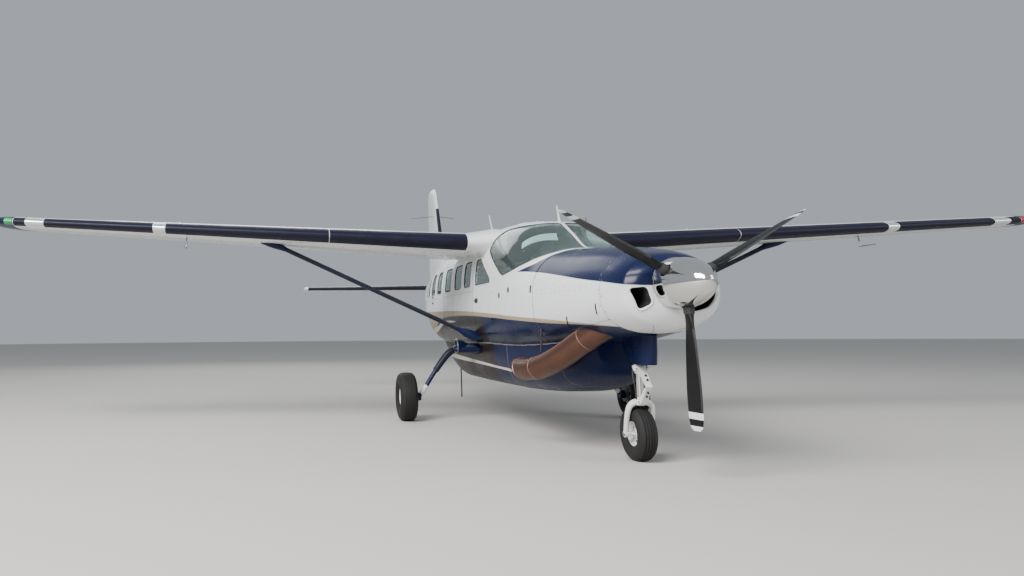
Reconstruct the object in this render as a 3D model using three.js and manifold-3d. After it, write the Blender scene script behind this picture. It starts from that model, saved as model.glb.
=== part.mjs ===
// Single-engine turboprop utility aircraft with a high braced wing, fixed tricycle gear and belly pod.
// Millimetres. The nose points to -Y, the tail to +Y, the aircraft's left wing to +X, up is +Z,
// and Z = 0 is the ground under the tyres. A station is a distance aft of the spinner's tip.

import * as THREE from "three";
import { mergeVertices } from "three/addons/utils/BufferGeometryUtils.js";
import Module from "manifold-3d";

const wasm = await Module();
wasm.setup();

// Driving dimensions
const LENGTH = 12680;
const HALF_SPAN = 7935;
const SEAM = 0.3;
const DOOR_GAP = 8;
const SURFACE_GAP = 8;

// Hull: cabin, cowl and tailcone share one lofted form
const HULL_SIDES = 24;
const CABIN_WALL = 36;
const COWL_WALL = 14;
const TAIL_WALL = 12;
const FIREWALL = 2540;
const CABIN_START = 2570;
const BOWL_BACK = 1020;
const CABIN_END = 9340;
const HULL_END = 12100;
const FLOOR_TOP = 1290;
const ROOF_SPLIT = 2560;
const COWL_SPLIT = 1800;

// station, belly, height of the widest point, roof, half width, roundness below, roundness above
const HULL = [
  [600, 1500, 1740, 1990, 345, 2.1, 2.1],
  [640, 1435, 1730, 2045, 430, 2.2, 2.1],
  [740, 1375, 1725, 2100, 500, 2.3, 2.2],
  [950, 1330, 1720, 2150, 560, 2.4, 2.2],
  [1500, 1260, 1720, 2235, 645, 2.6, 2.3],
  [2100, 1190, 1720, 2295, 710, 2.9, 2.4],
  [2540, 1150, 1720, 2330, 755, 3.2, 2.5],
  [2570, 1148, 1720, 2334, 759, 3.2, 2.5],
  [2720, 1140, 1720, 2355, 775, 3.4, 2.5],
  [3200, 1120, 1730, 2600, 810, 3.7, 2.6],
  [3600, 1110, 1740, 2790, 830, 4.0, 2.8],
  [4200, 1100, 1750, 2875, 840, 4.0, 3.0],
  [4900, 1100, 1750, 2905, 840, 4.0, 3.1],
  [6500, 1100, 1750, 2890, 840, 4.0, 3.1],
  [7600, 1102, 1755, 2840, 836, 4.0, 3.0],
  [8500, 1150, 1785, 2770, 805, 3.7, 2.9],
  [9340, 1350, 1890, 2690, 725, 3.1, 2.6],
  [10400, 1680, 2070, 2585, 555, 2.6, 2.4],
  [11400, 1960, 2220, 2500, 360, 2.4, 2.3],
  [12100, 2120, 2290, 2450, 190, 2.3, 2.3],
];

// Wing
const WING = {
  rootAt: 850, tipAt: 7800,
  rootLead: 4400, tipLead: 4750, rootChord: 1980, tipChord: 1220,
  rootHeight: 2620, tipHeight: 2985, rootDepth: 0.17, tipDepth: 0.13,
  camber: 0.018, rootIncidence: 0.045, tipIncidence: -0.008,
};
// distances from the centreline of the rings that swell into the root fairing, and how far it swells
const WING_CUFF = {
  rings: [480, 600, 720, 840, 930, 1000],
  end: 1000, run: 400, lead: 70, depth: 0.035, rise: 30,
};
// distance from the centreline, share of the chord kept
const WING_TIP = [[7640, 1], [7780, 0.97], [7870, 0.86], [7920, 0.66], [HALF_SPAN, 0.4]];
// name, inboard end, outboard end, share of the chord ahead of the hinge
const WING_SURFACES = [
  ["flap", 1040, 5200, 0.74],
  ["aileron", 5240, 7420, 0.77],
];

// Tail
const TAILPLANE = {
  rootAt: 150, tipAt: 3125, rootLead: 11060, tipLead: 11370,
  rootChord: 1330, tipChord: 860, height: 2335, depth: 0.11, wall: 8,
  hingeShare: 0.62, elevatorFrom: 320, elevatorTo: 3060,
};
const FIN = {
  rootAt: 2130, tipAt: 4560, topAt: 4710, rootLead: 10560, tipLead: 11640,
  rootTrail: 12680, tipTrail: 12610, depth: 0.085, wall: 8,
  hingeFoot: 12190, hingeHead: 12300, rudderFrom: 2150, rudderTo: 4560,
  dorsal: [[8850, 2600], [11000, 2400], [11000, 2900], [10700, 2960], [10300, 2860]],
};

// Propeller
const HUB_HEIGHT = 1790;
const BLADE_STATION = 400;
const BLADE_TIP = 1345;
// radius, chord, thickness, pitch from the plane of rotation in degrees
const BLADE = [
  [128, 92, 92, 104],
  [250, 96, 88, 102],
  [380, 165, 52, 99],
  [620, 232, 30, 94],
  [950, 248, 20, 88],
  [1200, 226, 14, 85],
  [1310, 176, 10, 83],
  [BLADE_TIP, 96, 7, 82],
];

// Undercarriage. The wheels stand on a flat of their many-sided tread.
const WHEEL_SIDES = 20;
const FLAT = Math.cos(Math.PI / WHEEL_SIDES);
const NOSE = { axleStation: 1600, steerStation: 1500, tyre: 280, width: 200, rim: 128, height: 280 * FLAT };
const MAIN = { axleStation: 5650, halfTrack: 1780, tyre: 368, width: 270, rim: 150, height: 368 * FLAT };

const colours = {
  white: [0xf2f2ef, 0.25, 0.1],
  navy: [0x171d4a, 0.25, 0.2],
  chrome: [0xd8d8d8, 0.08, 1],
  black: [0x161616, 0.5, 0.2],
  rubber: [0x1c1c1c, 0.85, 0],
  copper: [0x7a4b38, 0.45, 0.8],
  glass: [0x9fc4b8, 0.05, 0],
  grey: [0x8d8f90, 0.5, 0.5],
  cloth: [0x6f6a62, 0.9, 0],
};

const craft = new THREE.Group();

function aft(station) {
  return station - LENGTH / 2;
}

function between(a, b, share) {
  return a + (b - a) * share;
}

// Solids from three.js geometry, and back
function solidOf(geometry) {
  const bare = geometry.index ? geometry.toNonIndexed() : geometry.clone();
  bare.deleteAttribute("normal");
  bare.deleteAttribute("uv");
  const merged = mergeVertices(bare, 1e-4);
  const positions = new Float32Array(merged.attributes.position.array);
  const triangles = new Uint32Array(merged.index.array);
  let volume = 0;
  for (let i = 0; i < triangles.length; i += 3) {
    const [a, b, c] = [0, 1, 2].map((k) => new THREE.Vector3().fromArray(positions, 3 * triangles[i + k]));
    volume += a.dot(b.cross(c));
  }
  if (volume < 0) {
    for (let i = 0; i < triangles.length; i += 3) {
      [triangles[i], triangles[i + 1]] = [triangles[i + 1], triangles[i]];
    }
  }
  return new wasm.Manifold(new wasm.Mesh({ numProp: 3, vertProperties: positions, triVerts: triangles }));
}

function geometryOf(solid) {
  const mesh = solid.getMesh();
  const geometry = new THREE.BufferGeometry();
  geometry.setAttribute("position", new THREE.BufferAttribute(new Float32Array(mesh.vertProperties), 3));
  geometry.setIndex(new THREE.BufferAttribute(new Uint32Array(mesh.triVerts), 1));
  geometry.computeVertexNormals();
  return geometry;
}

function add(name, solid, colour) {
  const [hex, roughness, metalness] = colours[colour];
  const material = new THREE.MeshStandardMaterial({ color: hex, roughness, metalness });
  const mesh = new THREE.Mesh(geometryOf(solid), material);
  mesh.name = name;
  craft.add(mesh);
}

// A solid through a row of rings with equal point counts, closed by a flat cap at each end. Its
// facets on the right are the mirror image of those on the left.
function loft(rings) {
  const count = rings[0].length;
  const positions = [];
  const index = [];
  for (const ring of rings) {
    for (const point of ring) positions.push(...point);
  }
  for (let row = 0; row + 1 < rings.length; row += 1) {
    for (let i = 0; i < count; i += 1) {
      const a = row * count + i;
      const b = row * count + ((i + 1) % count);
      const right = positions[3 * a] + positions[3 * b] < 0;
      const [c, d] = [a + count, b + count];
      index.push(...(right ? [a, b, c, b, d, c] : [a, b, d, a, d, c]));
    }
  }
  for (const [row, flip] of [[0, true], [rings.length - 1, false]]) {
    const middle = positions.length / 3;
    const ring = rings[row];
    positions.push(...[0, 1, 2].map((k) => ring.reduce((sum, point) => sum + point[k], 0) / count));
    for (let i = 0; i < count; i += 1) {
      const a = row * count + i;
      const b = row * count + ((i + 1) % count);
      index.push(...(flip ? [b, a, middle] : [a, b, middle]));
    }
  }
  const geometry = new THREE.BufferGeometry();
  geometry.setAttribute("position", new THREE.Float32BufferAttribute(positions, 3));
  geometry.setIndex(index);
  return solidOf(geometry);
}

// A box from its two corners
function box(low, high) {
  const geometry = new THREE.BoxGeometry(high[0] - low[0], high[1] - low[1], high[2] - low[2]);
  geometry.translate((low[0] + high[0]) / 2, (low[1] + high[1]) / 2, (low[2] + high[2]) / 2);
  return solidOf(geometry);
}

// An outline of [station, height] points, pushed across from one X to another
function sidePrism(outline, from, to) {
  const shape = new THREE.Shape(outline.map(([station, height]) => new THREE.Vector2(aft(station), height)));
  const geometry = new THREE.ExtrudeGeometry(shape, { depth: to - from, bevelEnabled: false });
  geometry.applyMatrix4(new THREE.Matrix4().set(0, 0, 1, from, 1, 0, 0, 0, 0, 1, 0, 0, 0, 0, 0, 1));
  return solidOf(geometry);
}

// An outline of [x, height] points, pushed aft from one station to another
function frontPrism(outline, from, to) {
  const shape = new THREE.Shape(outline.map(([x, height]) => new THREE.Vector2(x, height)));
  const geometry = new THREE.ExtrudeGeometry(shape, { depth: to - from, bevelEnabled: false });
  geometry.applyMatrix4(new THREE.Matrix4().set(1, 0, 0, 0, 0, 0, 1, aft(from), 0, 1, 0, 0, 0, 0, 0, 1));
  return solidOf(geometry);
}

// A round bar between two points, with its own radius at each end
function bar(from, to, fromRadius, toRadius, sides = 20) {
  const start = new THREE.Vector3(...from);
  const end = new THREE.Vector3(...to);
  const along = end.clone().sub(start);
  const geometry = new THREE.CylinderGeometry(toRadius, fromRadius, along.length(), sides);
  const upright = new THREE.Vector3(0, 1, 0);
  geometry.applyQuaternion(new THREE.Quaternion().setFromUnitVectors(upright, along.clone().normalize()));
  geometry.translate(...start.add(end).multiplyScalar(0.5).toArray());
  return solidOf(geometry);
}

// A box that runs between two points and reaches aft and up and down from that line
function slab(from, to, reachAft, reachUp) {
  const along = new THREE.Vector3(...to).sub(new THREE.Vector3(...from));
  const middle = new THREE.Vector3(...from).add(new THREE.Vector3(...to)).multiplyScalar(0.5);
  const x = along.clone().normalize();
  const y = new THREE.Vector3(0, 1, 0).addScaledVector(x, -x.y).normalize();
  const z = new THREE.Vector3().crossVectors(x, y);
  const geometry = new THREE.BoxGeometry(along.length(), reachAft, 2 * reachUp);
  geometry.translate(0, reachAft / 2, 0);
  geometry.applyMatrix4(new THREE.Matrix4().makeBasis(x, y, z).setPosition(middle));
  return solidOf(geometry);
}

// A closed tube with an oval section along a smooth path
function tube(points, across, down, steps, sides = 16) {
  const path = new THREE.CatmullRomCurve3(points.map((point) => new THREE.Vector3(...point)));
  const oval = new THREE.Shape(new THREE.EllipseCurve(0, 0, down, across, 0, 2 * Math.PI).getPoints(sides));
  return solidOf(new THREE.ExtrudeGeometry(oval, { extrudePath: path, steps, curveSegments: sides }));
}

// A profile of [radius, distance] points turned about an axis that points along +X or +Y
function turned(profile, centre, axis, sides = WHEEL_SIDES) {
  const points = profile.map(([r, d]) => new THREE.Vector2(r, d));
  const geometry = new THREE.LatheGeometry(points, sides, Math.PI / sides);
  if (axis === "x") geometry.rotateZ(-Math.PI / 2);
  geometry.translate(...centre);
  return solidOf(geometry);
}

// Smooth value of one column of a station table, without overshoot
function columnAt(table, station, column) {
  const last = table.length - 1;
  let row = table.findIndex((entry, i) => i < last && station <= table[i + 1][0]);
  if (row < 0) row = last - 1;
  const slope = (i) => (table[i + 1][column] - table[i][column]) / (table[i + 1][0] - table[i][0]);
  const tangent = (i) => {
    if (i === 0) return slope(0);
    if (i === last) return slope(last - 1);
    const [before, after] = [slope(i - 1), slope(i)];
    return before * after <= 0 ? 0 : (2 * before * after) / (before + after);
  };
  const span = table[row + 1][0] - table[row][0];
  const t = (station - table[row][0]) / span;
  const [a, b] = [table[row][column], table[row + 1][column]];
  const bend = t * (1 - t) * span;
  const ease = t * t * (3 - 2 * t);
  return a + (b - a) * ease + bend * ((1 - t) * tangent(row) - t * tangent(row + 1));
}

function hullAt(station) {
  return [1, 2, 3, 4, 5, 6].map((column) => columnAt(HULL, station, column));
}

function hullRing(station, inset) {
  const [low, wide, high, half, lowPower, highPower] = hullAt(station);
  const ring = [];
  for (let i = 0; i < HULL_SIDES; i += 1) {
    const angle = (2 * Math.PI * i) / HULL_SIDES;
    const [across, up] = [Math.cos(angle), Math.sin(angle)];
    const power = up < 0 ? lowPower : highPower;
    const reach = up < 0 ? wide - low : high - wide;
    ring.push([
      (half - inset) * Math.sign(across) * Math.abs(across) ** (2 / power),
      aft(station),
      wide + (reach - inset) * Math.sign(up) * Math.abs(up) ** (2 / power),
    ]);
  }
  return ring;
}

// The hull's form between two stations, drawn in by an inset
function hull(from, to, inset = 0) {
  const inner = HULL.map((row) => row[0]).filter((station) => station > from + 1 && station < to - 1);
  return loft([from, ...inner, to].map((station) => hullRing(station, inset)));
}

// Half width of the hull at a station and height
function hullHalf(station, height) {
  const [low, wide, high, half, lowPower, highPower] = hullAt(station);
  const above = height > wide;
  const share = above ? (height - wide) / (high - wide) : (wide - height) / (wide - low);
  const power = above ? highPower : lowPower;
  return half * (1 - share ** power) ** (1 / power);
}

function hullShell(from, to, wall) {
  return hull(from, to).subtract(hull(from - 1, to + 1, wall));
}

// An aerofoil ring: unit chord points scaled, placed by a function of (chord share, height share)
const AEROFOIL_POINTS = 9;
function aerofoil(chord, depth, camber, place) {
  const upper = [];
  const lower = [];
  for (let i = 0; i <= AEROFOIL_POINTS; i += 1) {
    const u = (1 - Math.cos((Math.PI * i) / AEROFOIL_POINTS)) / 2;
    const root = 0.2969 * Math.sqrt(u) - 0.126 * u - 0.3516 * u * u + 0.2843 * u ** 3 - 0.1036 * u ** 4;
    const half = 5 * depth * root * chord + 2 * u;
    const middle = 4 * camber * u * (1 - u) * chord;
    upper.push(place(u * chord, middle + half));
    if (i > 0) lower.push(place(u * chord, middle - half));
  }
  return [...upper.reverse(), ...lower];
}

function wingShare(x) {
  return (x - WING.rootAt) / (WING.tipAt - WING.rootAt);
}

function wingRing(x, keep = 1) {
  const share = wingShare(x);
  const swell = Math.min(Math.max((WING_CUFF.end - x) / WING_CUFF.run, 0), 1);
  const full = between(WING.rootChord, WING.tipChord, share) + WING_CUFF.lead * swell ** 1.5;
  const chord = full * keep;
  const lead = between(WING.rootLead, WING.tipLead, share) - WING_CUFF.lead * swell ** 1.5
    + (full - chord) * 0.45;
  const height = between(WING.rootHeight, WING.tipHeight, share) + WING_CUFF.rise * swell;
  const depth = between(WING.rootDepth, WING.tipDepth, share) * (keep < 1 ? keep ** 0.6 : 1)
    + WING_CUFF.depth * swell;
  const incidence = between(WING.rootIncidence, WING.tipIncidence, share);
  const place = (run, rise) => [x, aft(lead + run), height + rise - run * incidence];
  return aerofoil(chord, depth, WING.camber, place);
}

// The hinge point of a wing surface at a distance from the centreline, and the nose radius there
function wingHinge(x, share) {
  const ring = wingRing(x);
  const chord = between(WING.rootChord, WING.tipChord, wingShare(x));
  const lead = between(WING.rootLead, WING.tipLead, wingShare(x));
  const y = aft(lead + chord * share);
  return hingeInRing(ring, y, 1, 2);
}

// Middle and half depth of a ring where one coordinate has a value
function hingeInRing(ring, value, along, across) {
  const cuts = [];
  ring.forEach((point, i) => {
    const next = ring[(i + 1) % ring.length];
    if ((point[along] - value) * (next[along] - value) < 0) {
      const t = (value - point[along]) / (next[along] - point[along]);
      cuts.push([0, 1, 2].map((k) => between(point[k], next[k], t)));
    }
  });
  const [a, b] = cuts;
  const centre = [0, 1, 2].map((k) => (a[k] + b[k]) / 2);
  return { centre, radius: Math.abs(a[across] - b[across]) / 2 + 1 };
}

// Parts a solid at a hinge line: what lies ahead stays, what lies aft moves, with a round nose and
// a hinge pin that nearly meets the bay's ends
const SURFACE_REACH = 900;
const SURFACE_PIN = 12;
function splitSurface(solid, from, to, fromRadius, toRadius, reachUp) {
  const start = new THREE.Vector3(...from);
  const end = new THREE.Vector3(...to);
  const step = end.clone().sub(start).normalize().multiplyScalar(SURFACE_GAP);
  const inStart = start.clone().add(step).toArray();
  const inEnd = end.clone().sub(step).toArray();
  const bayRoll = bar(from, to, fromRadius + SURFACE_GAP, toRadius + SURFACE_GAP, 18);
  const bay = bayRoll.add(slab(from, to, SURFACE_REACH, reachUp));
  const noseRoll = bar(inStart, inEnd, fromRadius, toRadius, 18);
  const nose = noseRoll.add(slab(inStart, inEnd, SURFACE_REACH, reachUp));
  const pinShort = step.clone().setLength(KNUCKLE.running);
  const pinFrom = start.clone().add(pinShort).toArray();
  const pinTo = end.clone().sub(pinShort).toArray();
  return [solid.subtract(bay), solid.intersect(nose).add(bar(pinFrom, pinTo, SURFACE_PIN, SURFACE_PIN, 6))];
}

// Door hinges: a fixed knuckle beside a moving one, each on a leaf let into its own panel
const KNUCKLE = { radius: 9, length: 34, leaf: 20, running: 0.4, depth: 40, pocket: 4 };

function knuckle(start, along, toward, inward) {
  const end = start.clone().addScaledVector(along, KNUCKLE.length);
  const leaf = new THREE.BoxGeometry(KNUCKLE.length, KNUCKLE.leaf, KNUCKLE.depth);
  leaf.translate(KNUCKLE.length / 2, KNUCKLE.leaf / 2, KNUCKLE.depth / 2 - 4);
  const basis = new THREE.Matrix4().makeBasis(along, toward, inward).setPosition(start);
  const roll = bar(start.toArray(), end.toArray(), KNUCKLE.radius, KNUCKLE.radius, 6);
  return roll.add(solidOf(leaf.applyMatrix4(basis)));
}

// Room for a knuckle where the panel across the gap bulges out to it
function knucklePocket(start, along) {
  const from = start.clone().addScaledVector(along, -KNUCKLE.pocket).toArray();
  const to = start.clone().addScaledVector(along, KNUCKLE.length + KNUCKLE.pocket).toArray();
  const radius = KNUCKLE.radius + KNUCKLE.pocket;
  return bar(from, to, radius, radius, 6);
}

// Hangs a door on its frame along a line; toward points from the frame to the door
function hang(frame, door, line, toward, inward, shares = [0.12, 0.82]) {
  const [from, to] = line.map((point) => new THREE.Vector3(...point));
  const along = to.clone().sub(from).normalize();
  const across = new THREE.Vector3(...toward);
  across.addScaledVector(along, -along.dot(across)).normalize();
  const normal = new THREE.Vector3().crossVectors(along, across);
  if (normal.dot(new THREE.Vector3(...inward)) < 0) normal.negate();
  let [fixed, moving] = [frame, door];
  for (const share of shares) {
    const middle = from.clone().lerp(to, share);
    const fixedStart = middle.clone().addScaledVector(along, -KNUCKLE.length - KNUCKLE.running / 2);
    const movingStart = middle.clone().addScaledVector(along, KNUCKLE.running / 2);
    fixed = fixed.subtract(knucklePocket(movingStart, along));
    fixed = fixed.add(knuckle(fixedStart, along, across.clone().negate(), normal));
    moving = moving.subtract(knucklePocket(fixedStart, along));
    moving = moving.add(knuckle(movingStart, along, across, normal));
  }
  return [fixed, moving];
}

function mirrored(solid, side) {
  return side < 0 ? solid.mirror([1, 0, 0]) : solid;
}

const SIDES = [["left", 1], ["right", -1]];

// Openings: outlines in the side view, as [station, height]
const crewDoor = [[4010, 1318], [4990, 1318], [4990, 2445], [4640, 2445], [4010, 2060]];
const crewWindow = [[4120, 2020], [4935, 2020], [4935, 2405], [4690, 2405], [4120, 2075]];
// the first point and the last three lie above the hull, so each half runs up to the centre post
const windscreen = [
  [2640, 2400], [2665, 2305], [2960, 2180], [3240, 2115], [3540, 2072], [3650, 2100],
  [4090, 2340], [4340, 2478], [4370, 2560], [4320, 2690], [4120, 2762],
  [3520, 2765], [3440, 2950], [2640, 2950],
];
const SILL = 2020;
const LINTEL = 2415;
// forward edge, aft edge of each cabin window
const WINDOWS = [
  [5200, 5640], [5820, 6320], [6560, 7060], [7350, 7780], [7990, 8400], [8660, 8900], [9000, 9200],
];
// windows that lie in the rear door, by side
const DOOR_WINDOWS = { left: [3, 4], right: [4] };
const SCUTTLE = { low: 2130, back: 3600 };
const CENTRE_POST = 18;
const SCREEN_FIT = 0.5;
const CARGO = { from: 7230, to: 8520, low: 1320, split: 1950, high: 2520 };
const AIRSTAIR = { from: 7860, to: 8520, low: 1320, split: 1950, high: 2520 };

// Hinge lines stand just outside the skin, within the gap at the door's edge
const HINGE_OUT = 10;
const HINGE_IN = 6;
const POD_HINGE_OUT = 18;
const CREW_HINGE = { x: 851, station: 4016, heights: [1450, 1950] };
const CARGO_HINGE = { x: 850, station: 7236, heights: [1450, 1900] };

// A rectangle with cut corners, in the side view
function sideWindow([from, to], low = SILL, high = LINTEL, corner = 70) {
  return [
    [from + corner, low], [to - corner, low], [to, low + corner], [to, high - corner],
    [to - corner, high], [from + corner, high], [from, high - corner], [from, low + corner],
  ];
}

function rectangle(from, to, low, high) {
  return [[from, low], [to, low], [to, high], [from, high]];
}

// An outline drawn in towards its middle by an even gap on straight sides
function drawnIn(outline, gap) {
  const middle = [0, 1].map((k) => outline.reduce((sum, point) => sum + point[k], 0) / outline.length);
  return outline.map(([s, h], i) => {
    const before = outline[(i + outline.length - 1) % outline.length];
    const after = outline[(i + 1) % outline.length];
    const normal = (p, q) => {
      const n = new THREE.Vector2(q[1] - p[1], p[0] - q[0]).normalize();
      const inward = new THREE.Vector2(middle[0] - p[0], middle[1] - p[1]);
      return n.dot(inward) < 0 ? n.negate() : n;
    };
    const a = normal(before, [s, h]);
    const b = normal([s, h], after);
    const sum = a.clone().add(b);
    const reach = (2 * gap) / sum.lengthSq();
    return [s + sum.x * reach, h + sum.y * reach];
  });
}

function sideCut(outline, side) {
  return side > 0 ? sidePrism(outline, 120, 1100) : sidePrism(outline, -1100, -120);
}

const cabin = hullShell(CABIN_START, CABIN_END, CABIN_WALL);
const cabinRoom = hull(CABIN_START - 1, CABIN_END + 1, CABIN_WALL + 0.6);
const grownHull = hull(BOWL_BACK, HULL_END, -SEAM);
const paneSkin = hull(CABIN_START, CABIN_END, 8).subtract(hull(CABIN_START - 1, CABIN_END + 1, 16));

// Cabin shell: belly, two sides and roof
function buildCabin() {
  const ends = [aft(FIREWALL), aft(CABIN_END) + 10];
  const belly = cabin.intersect(box([-900, ends[0], 900], [900, ends[1], FLOOR_TOP]));
  add("belly_panel", belly, "navy");
  const screens = sidePrism(windscreen, CENTRE_POST, 1000).add(sidePrism(windscreen, -1000, -CENTRE_POST));
  const roof = cabin.intersect(box([-900, ends[0], ROOF_SPLIT + SEAM], [900, ends[1], 3000]));
  const scuttle = box([-900, ends[0], SCUTTLE.low], [900, aft(SCUTTLE.back), ROOF_SPLIT + 1]);
  add("roof_panel", roof.add(cabin.intersect(scuttle)).subtract(screens), "white");
  const scuttleRoom = box(
    [-900, ends[0] - 5, SCUTTLE.low - SEAM],
    [900, aft(SCUTTLE.back) + SEAM, ROOF_SPLIT + 5],
  );
  for (const [name, side] of SIDES) {
    const low = FLOOR_TOP + SEAM;
    const zone = side > 0 ? [1, 900] : [-900, -1];
    const band = cabin.intersect(box([zone[0], ends[0], low], [zone[1], ends[1], ROOF_SPLIT]));
    let panel = band.subtract(scuttleRoom).subtract(screens).subtract(sideCut(crewDoor, side));
    const doorWindows = DOOR_WINDOWS[name];
    WINDOWS.forEach((window, i) => {
      if (!doorWindows.includes(i)) panel = panel.subtract(sideCut(sideWindow(window), side));
    });
    const rear = side > 0 ? CARGO : AIRSTAIR;
    panel = panel.subtract(sideCut(rectangle(rear.from, rear.to, rear.low, rear.high), side));
    const inward = [-side, 0, 0];
    const plainDoor = band.intersect(sideCut(drawnIn(crewDoor, DOOR_GAP), side));
    const cutDoor = plainDoor.subtract(sideCut(crewWindow, side));
    const crewLine = CREW_HINGE.heights.map((height) => [
      side * CREW_HINGE.x, aft(CREW_HINGE.station), height,
    ]);
    const [crewFrame, door] = hang(panel, cutDoor, crewLine, [0, 1, 0], inward, [0.1, 0.9]);
    panel = crewFrame;
    add(`crew_door_${name}`, door, "white");
    const halfSeam = DOOR_GAP / 2;
    const [doorFrom, doorTo] = [rear.from + DOOR_GAP, rear.to - DOOR_GAP];
    const lower = rectangle(doorFrom, doorTo, rear.low + DOOR_GAP, rear.split - halfSeam);
    const upper = rectangle(doorFrom, doorTo, rear.split + halfSeam, rear.high - DOOR_GAP);
    let upperDoor = band.intersect(sideCut(upper, side));
    for (const i of doorWindows) upperDoor = upperDoor.subtract(sideCut(sideWindow(WINDOWS[i]), side));
    const stem = side > 0 ? "cargo_door" : "airstair_door";
    const lineAt = (height, rise) => [rear.from, rear.to].map((station) => [
      side * (hullHalf(station, height) + HINGE_OUT), aft(station), height + rise,
    ]);
    const cutLower = band.intersect(sideCut(lower, side));
    const cargoLine = CARGO_HINGE.heights.map((height) => [CARGO_HINGE.x, aft(CARGO_HINGE.station), height]);
    const [topFrame, top] = hang(panel, upperDoor, lineAt(rear.high, -HINGE_IN), [0, 0, -1], inward);
    const [bottomFrame, bottom] = side > 0
      ? hang(topFrame, cutLower, cargoLine, [0, 1, 0], inward, [0.1, 0.9])
      : hang(topFrame, cutLower, lineAt(rear.low, HINGE_IN), [0, 0, 1], inward);
    add(`${stem}_lower`, bottom, "navy");
    add(`${stem}_upper`, top, "white");
    add(`side_panel_${name}`, bottomFrame, "white");
    const post = CENTRE_POST + SCREEN_FIT;
    const reach = side > 0 ? [post, 1000] : [-1000, -post];
    const pane = sidePrism(drawnIn(windscreen, SCREEN_FIT), ...reach);
    add(`windscreen_${name}`, paneSkin.intersect(pane), "glass");
  }
}

function buildNose() {
  const bowl = hull(600, BOWL_BACK - SEAM);
  const shaftHole = bar([0, aft(500), HUB_HEIGHT], [0, aft(1100), HUB_HEIGHT], 70, 70, 16);
  const leftInlet = frontPrism([
    [330, 1985], [405, 1900], [438, 1790], [415, 1660], [330, 1560], [190, 1520], [110, 1530],
    [150, 1570], [250, 1610], [305, 1690], [318, 1790], [290, 1900],
  ], 500, 960);
  const rightInlet = frontPrism([
    [-440, 1770], [-290, 1775], [-270, 1630], [-340, 1560], [-425, 1620],
  ], 500, 960);
  add("nose_bowl", bowl.subtract(shaftHole).subtract(leftInlet).subtract(rightInlet), "white");
  const cowl = hullShell(BOWL_BACK, FIREWALL, COWL_WALL);
  const aboveSplit = box([-900, aft(900), COWL_SPLIT + SEAM], [900, aft(2600), 3000]);
  add("upper_cowl", cowl.intersect(aboveSplit), "navy");
  const exhaustHole = tube(exhaustPath, 150.6, 130.6, 8, 10);
  const lowerCowl = cowl.intersect(box([-900, aft(900), 900], [900, aft(2600), COWL_SPLIT]));
  add("lower_cowl", lowerCowl.subtract(exhaustHole), "white");
  const engine = bar([0, aft(BOWL_BACK), HUB_HEIGHT], [0, aft(FIREWALL), HUB_HEIGHT], 235, 245, 16);
  add("engine", engine.intersect(box([-900, aft(BOWL_BACK), 0], [900, aft(FIREWALL), 3000])), "grey");
  const plate = box([-900, aft(FIREWALL) + SEAM, 1000], [900, aft(CABIN_START) - SEAM, 2500]);
  add("firewall", hull(FIREWALL, CABIN_START).intersect(plate), "grey");
  const stack = tube(exhaustPath, 150, 130, 8, 10).subtract(tube(exhaustBore, 138, 118, 8, 10));
  add("exhaust_stack", stack, "copper");
}

// Route of the exhaust stack, from the right lower cowl out, down and aft
const exhaustPath = [
  [-330, aft(1620), 1420], [-470, aft(1780), 1250], [-620, aft(2100), 1055],
  [-735, aft(2450), 935], [-795, aft(2760), 905], [-820, aft(2930), 900],
];
const exhaustBore = [
  [-400, aft(1700), 1335], [-470, aft(1780), 1250], [-620, aft(2100), 1055],
  [-735, aft(2450), 935], [-795, aft(2760), 905], [-826, aft(2990), 898],
];

// The pole that stands under the aft fuselage and keeps the parked aircraft from tipping back
const STAND = { station: 9620, top: 1496, foot: 30, radius: 14 };

function buildTailcone() {
  const endCap = hull(HULL_END - 20, HULL_END);
  add("tailcone", hullShell(CABIN_END + SEAM, HULL_END, TAIL_WALL).add(endCap), "white");
  const plate = box([-900, aft(CABIN_END) - 30, 1300], [900, aft(CABIN_END) - 4, 2900]);
  add("aft_bulkhead", cabinRoom.intersect(plate), "grey");
  const ends = [STAND.top, STAND.foot].map((height) => [0, aft(STAND.station), height]);
  add("tail_stand", bar(...ends, STAND.radius, STAND.radius, 10).subtract(grownHull), "black");
}

function buildWings() {
  const rings = [...WING_CUFF.rings, 4200].map((x) => wingRing(x));
  const tips = WING_TIP.map(([x, keep]) => wingRing(x, keep));
  const whole = loft([...rings, ...tips]).subtract(grownHull);
  const parts = {};
  let fixed = whole;
  for (const [name, inboard, outboard, share] of WING_SURFACES) {
    const a = wingHinge(inboard, share);
    const b = wingHinge(outboard, share);
    const [rest, moving] = splitSurface(fixed, a.centre, b.centre, a.radius, b.radius, 400);
    fixed = rest;
    parts[name] = moving;
  }
  const strut = wingStrut(whole);
  for (const [name, side] of SIDES) {
    add(`wing_${name}`, mirrored(fixed, side), "white");
    add(`flap_${name}`, mirrored(parts.flap, side), "white");
    add(`aileron_${name}`, mirrored(parts.aileron, side), "white");
    add(`wing_strut_${name}`, mirrored(strut, side), "black");
  }
}

// Streamlined strut from the lower fuselage side to the wing's underside
const STRUT = {
  foot: [790, 5180, 1262], head: [4040, 5035, 2765],
  // share of the length, chord, depth, lead: plain between two flared ends
  rings: [
    [0, 330, 0.44, 140], [0.03, 310, 0.44, 130], [0.06, 250, 0.41, 106], [0.085, 196, 0.35, 83],
    [0.1, 190, 0.34, 80], [0.87, 190, 0.34, 80], [0.89, 214, 0.38, 92], [0.92, 256, 0.46, 112],
    [0.95, 290, 0.5, 128], [1, 310, 0.5, 138],
  ],
};

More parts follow.
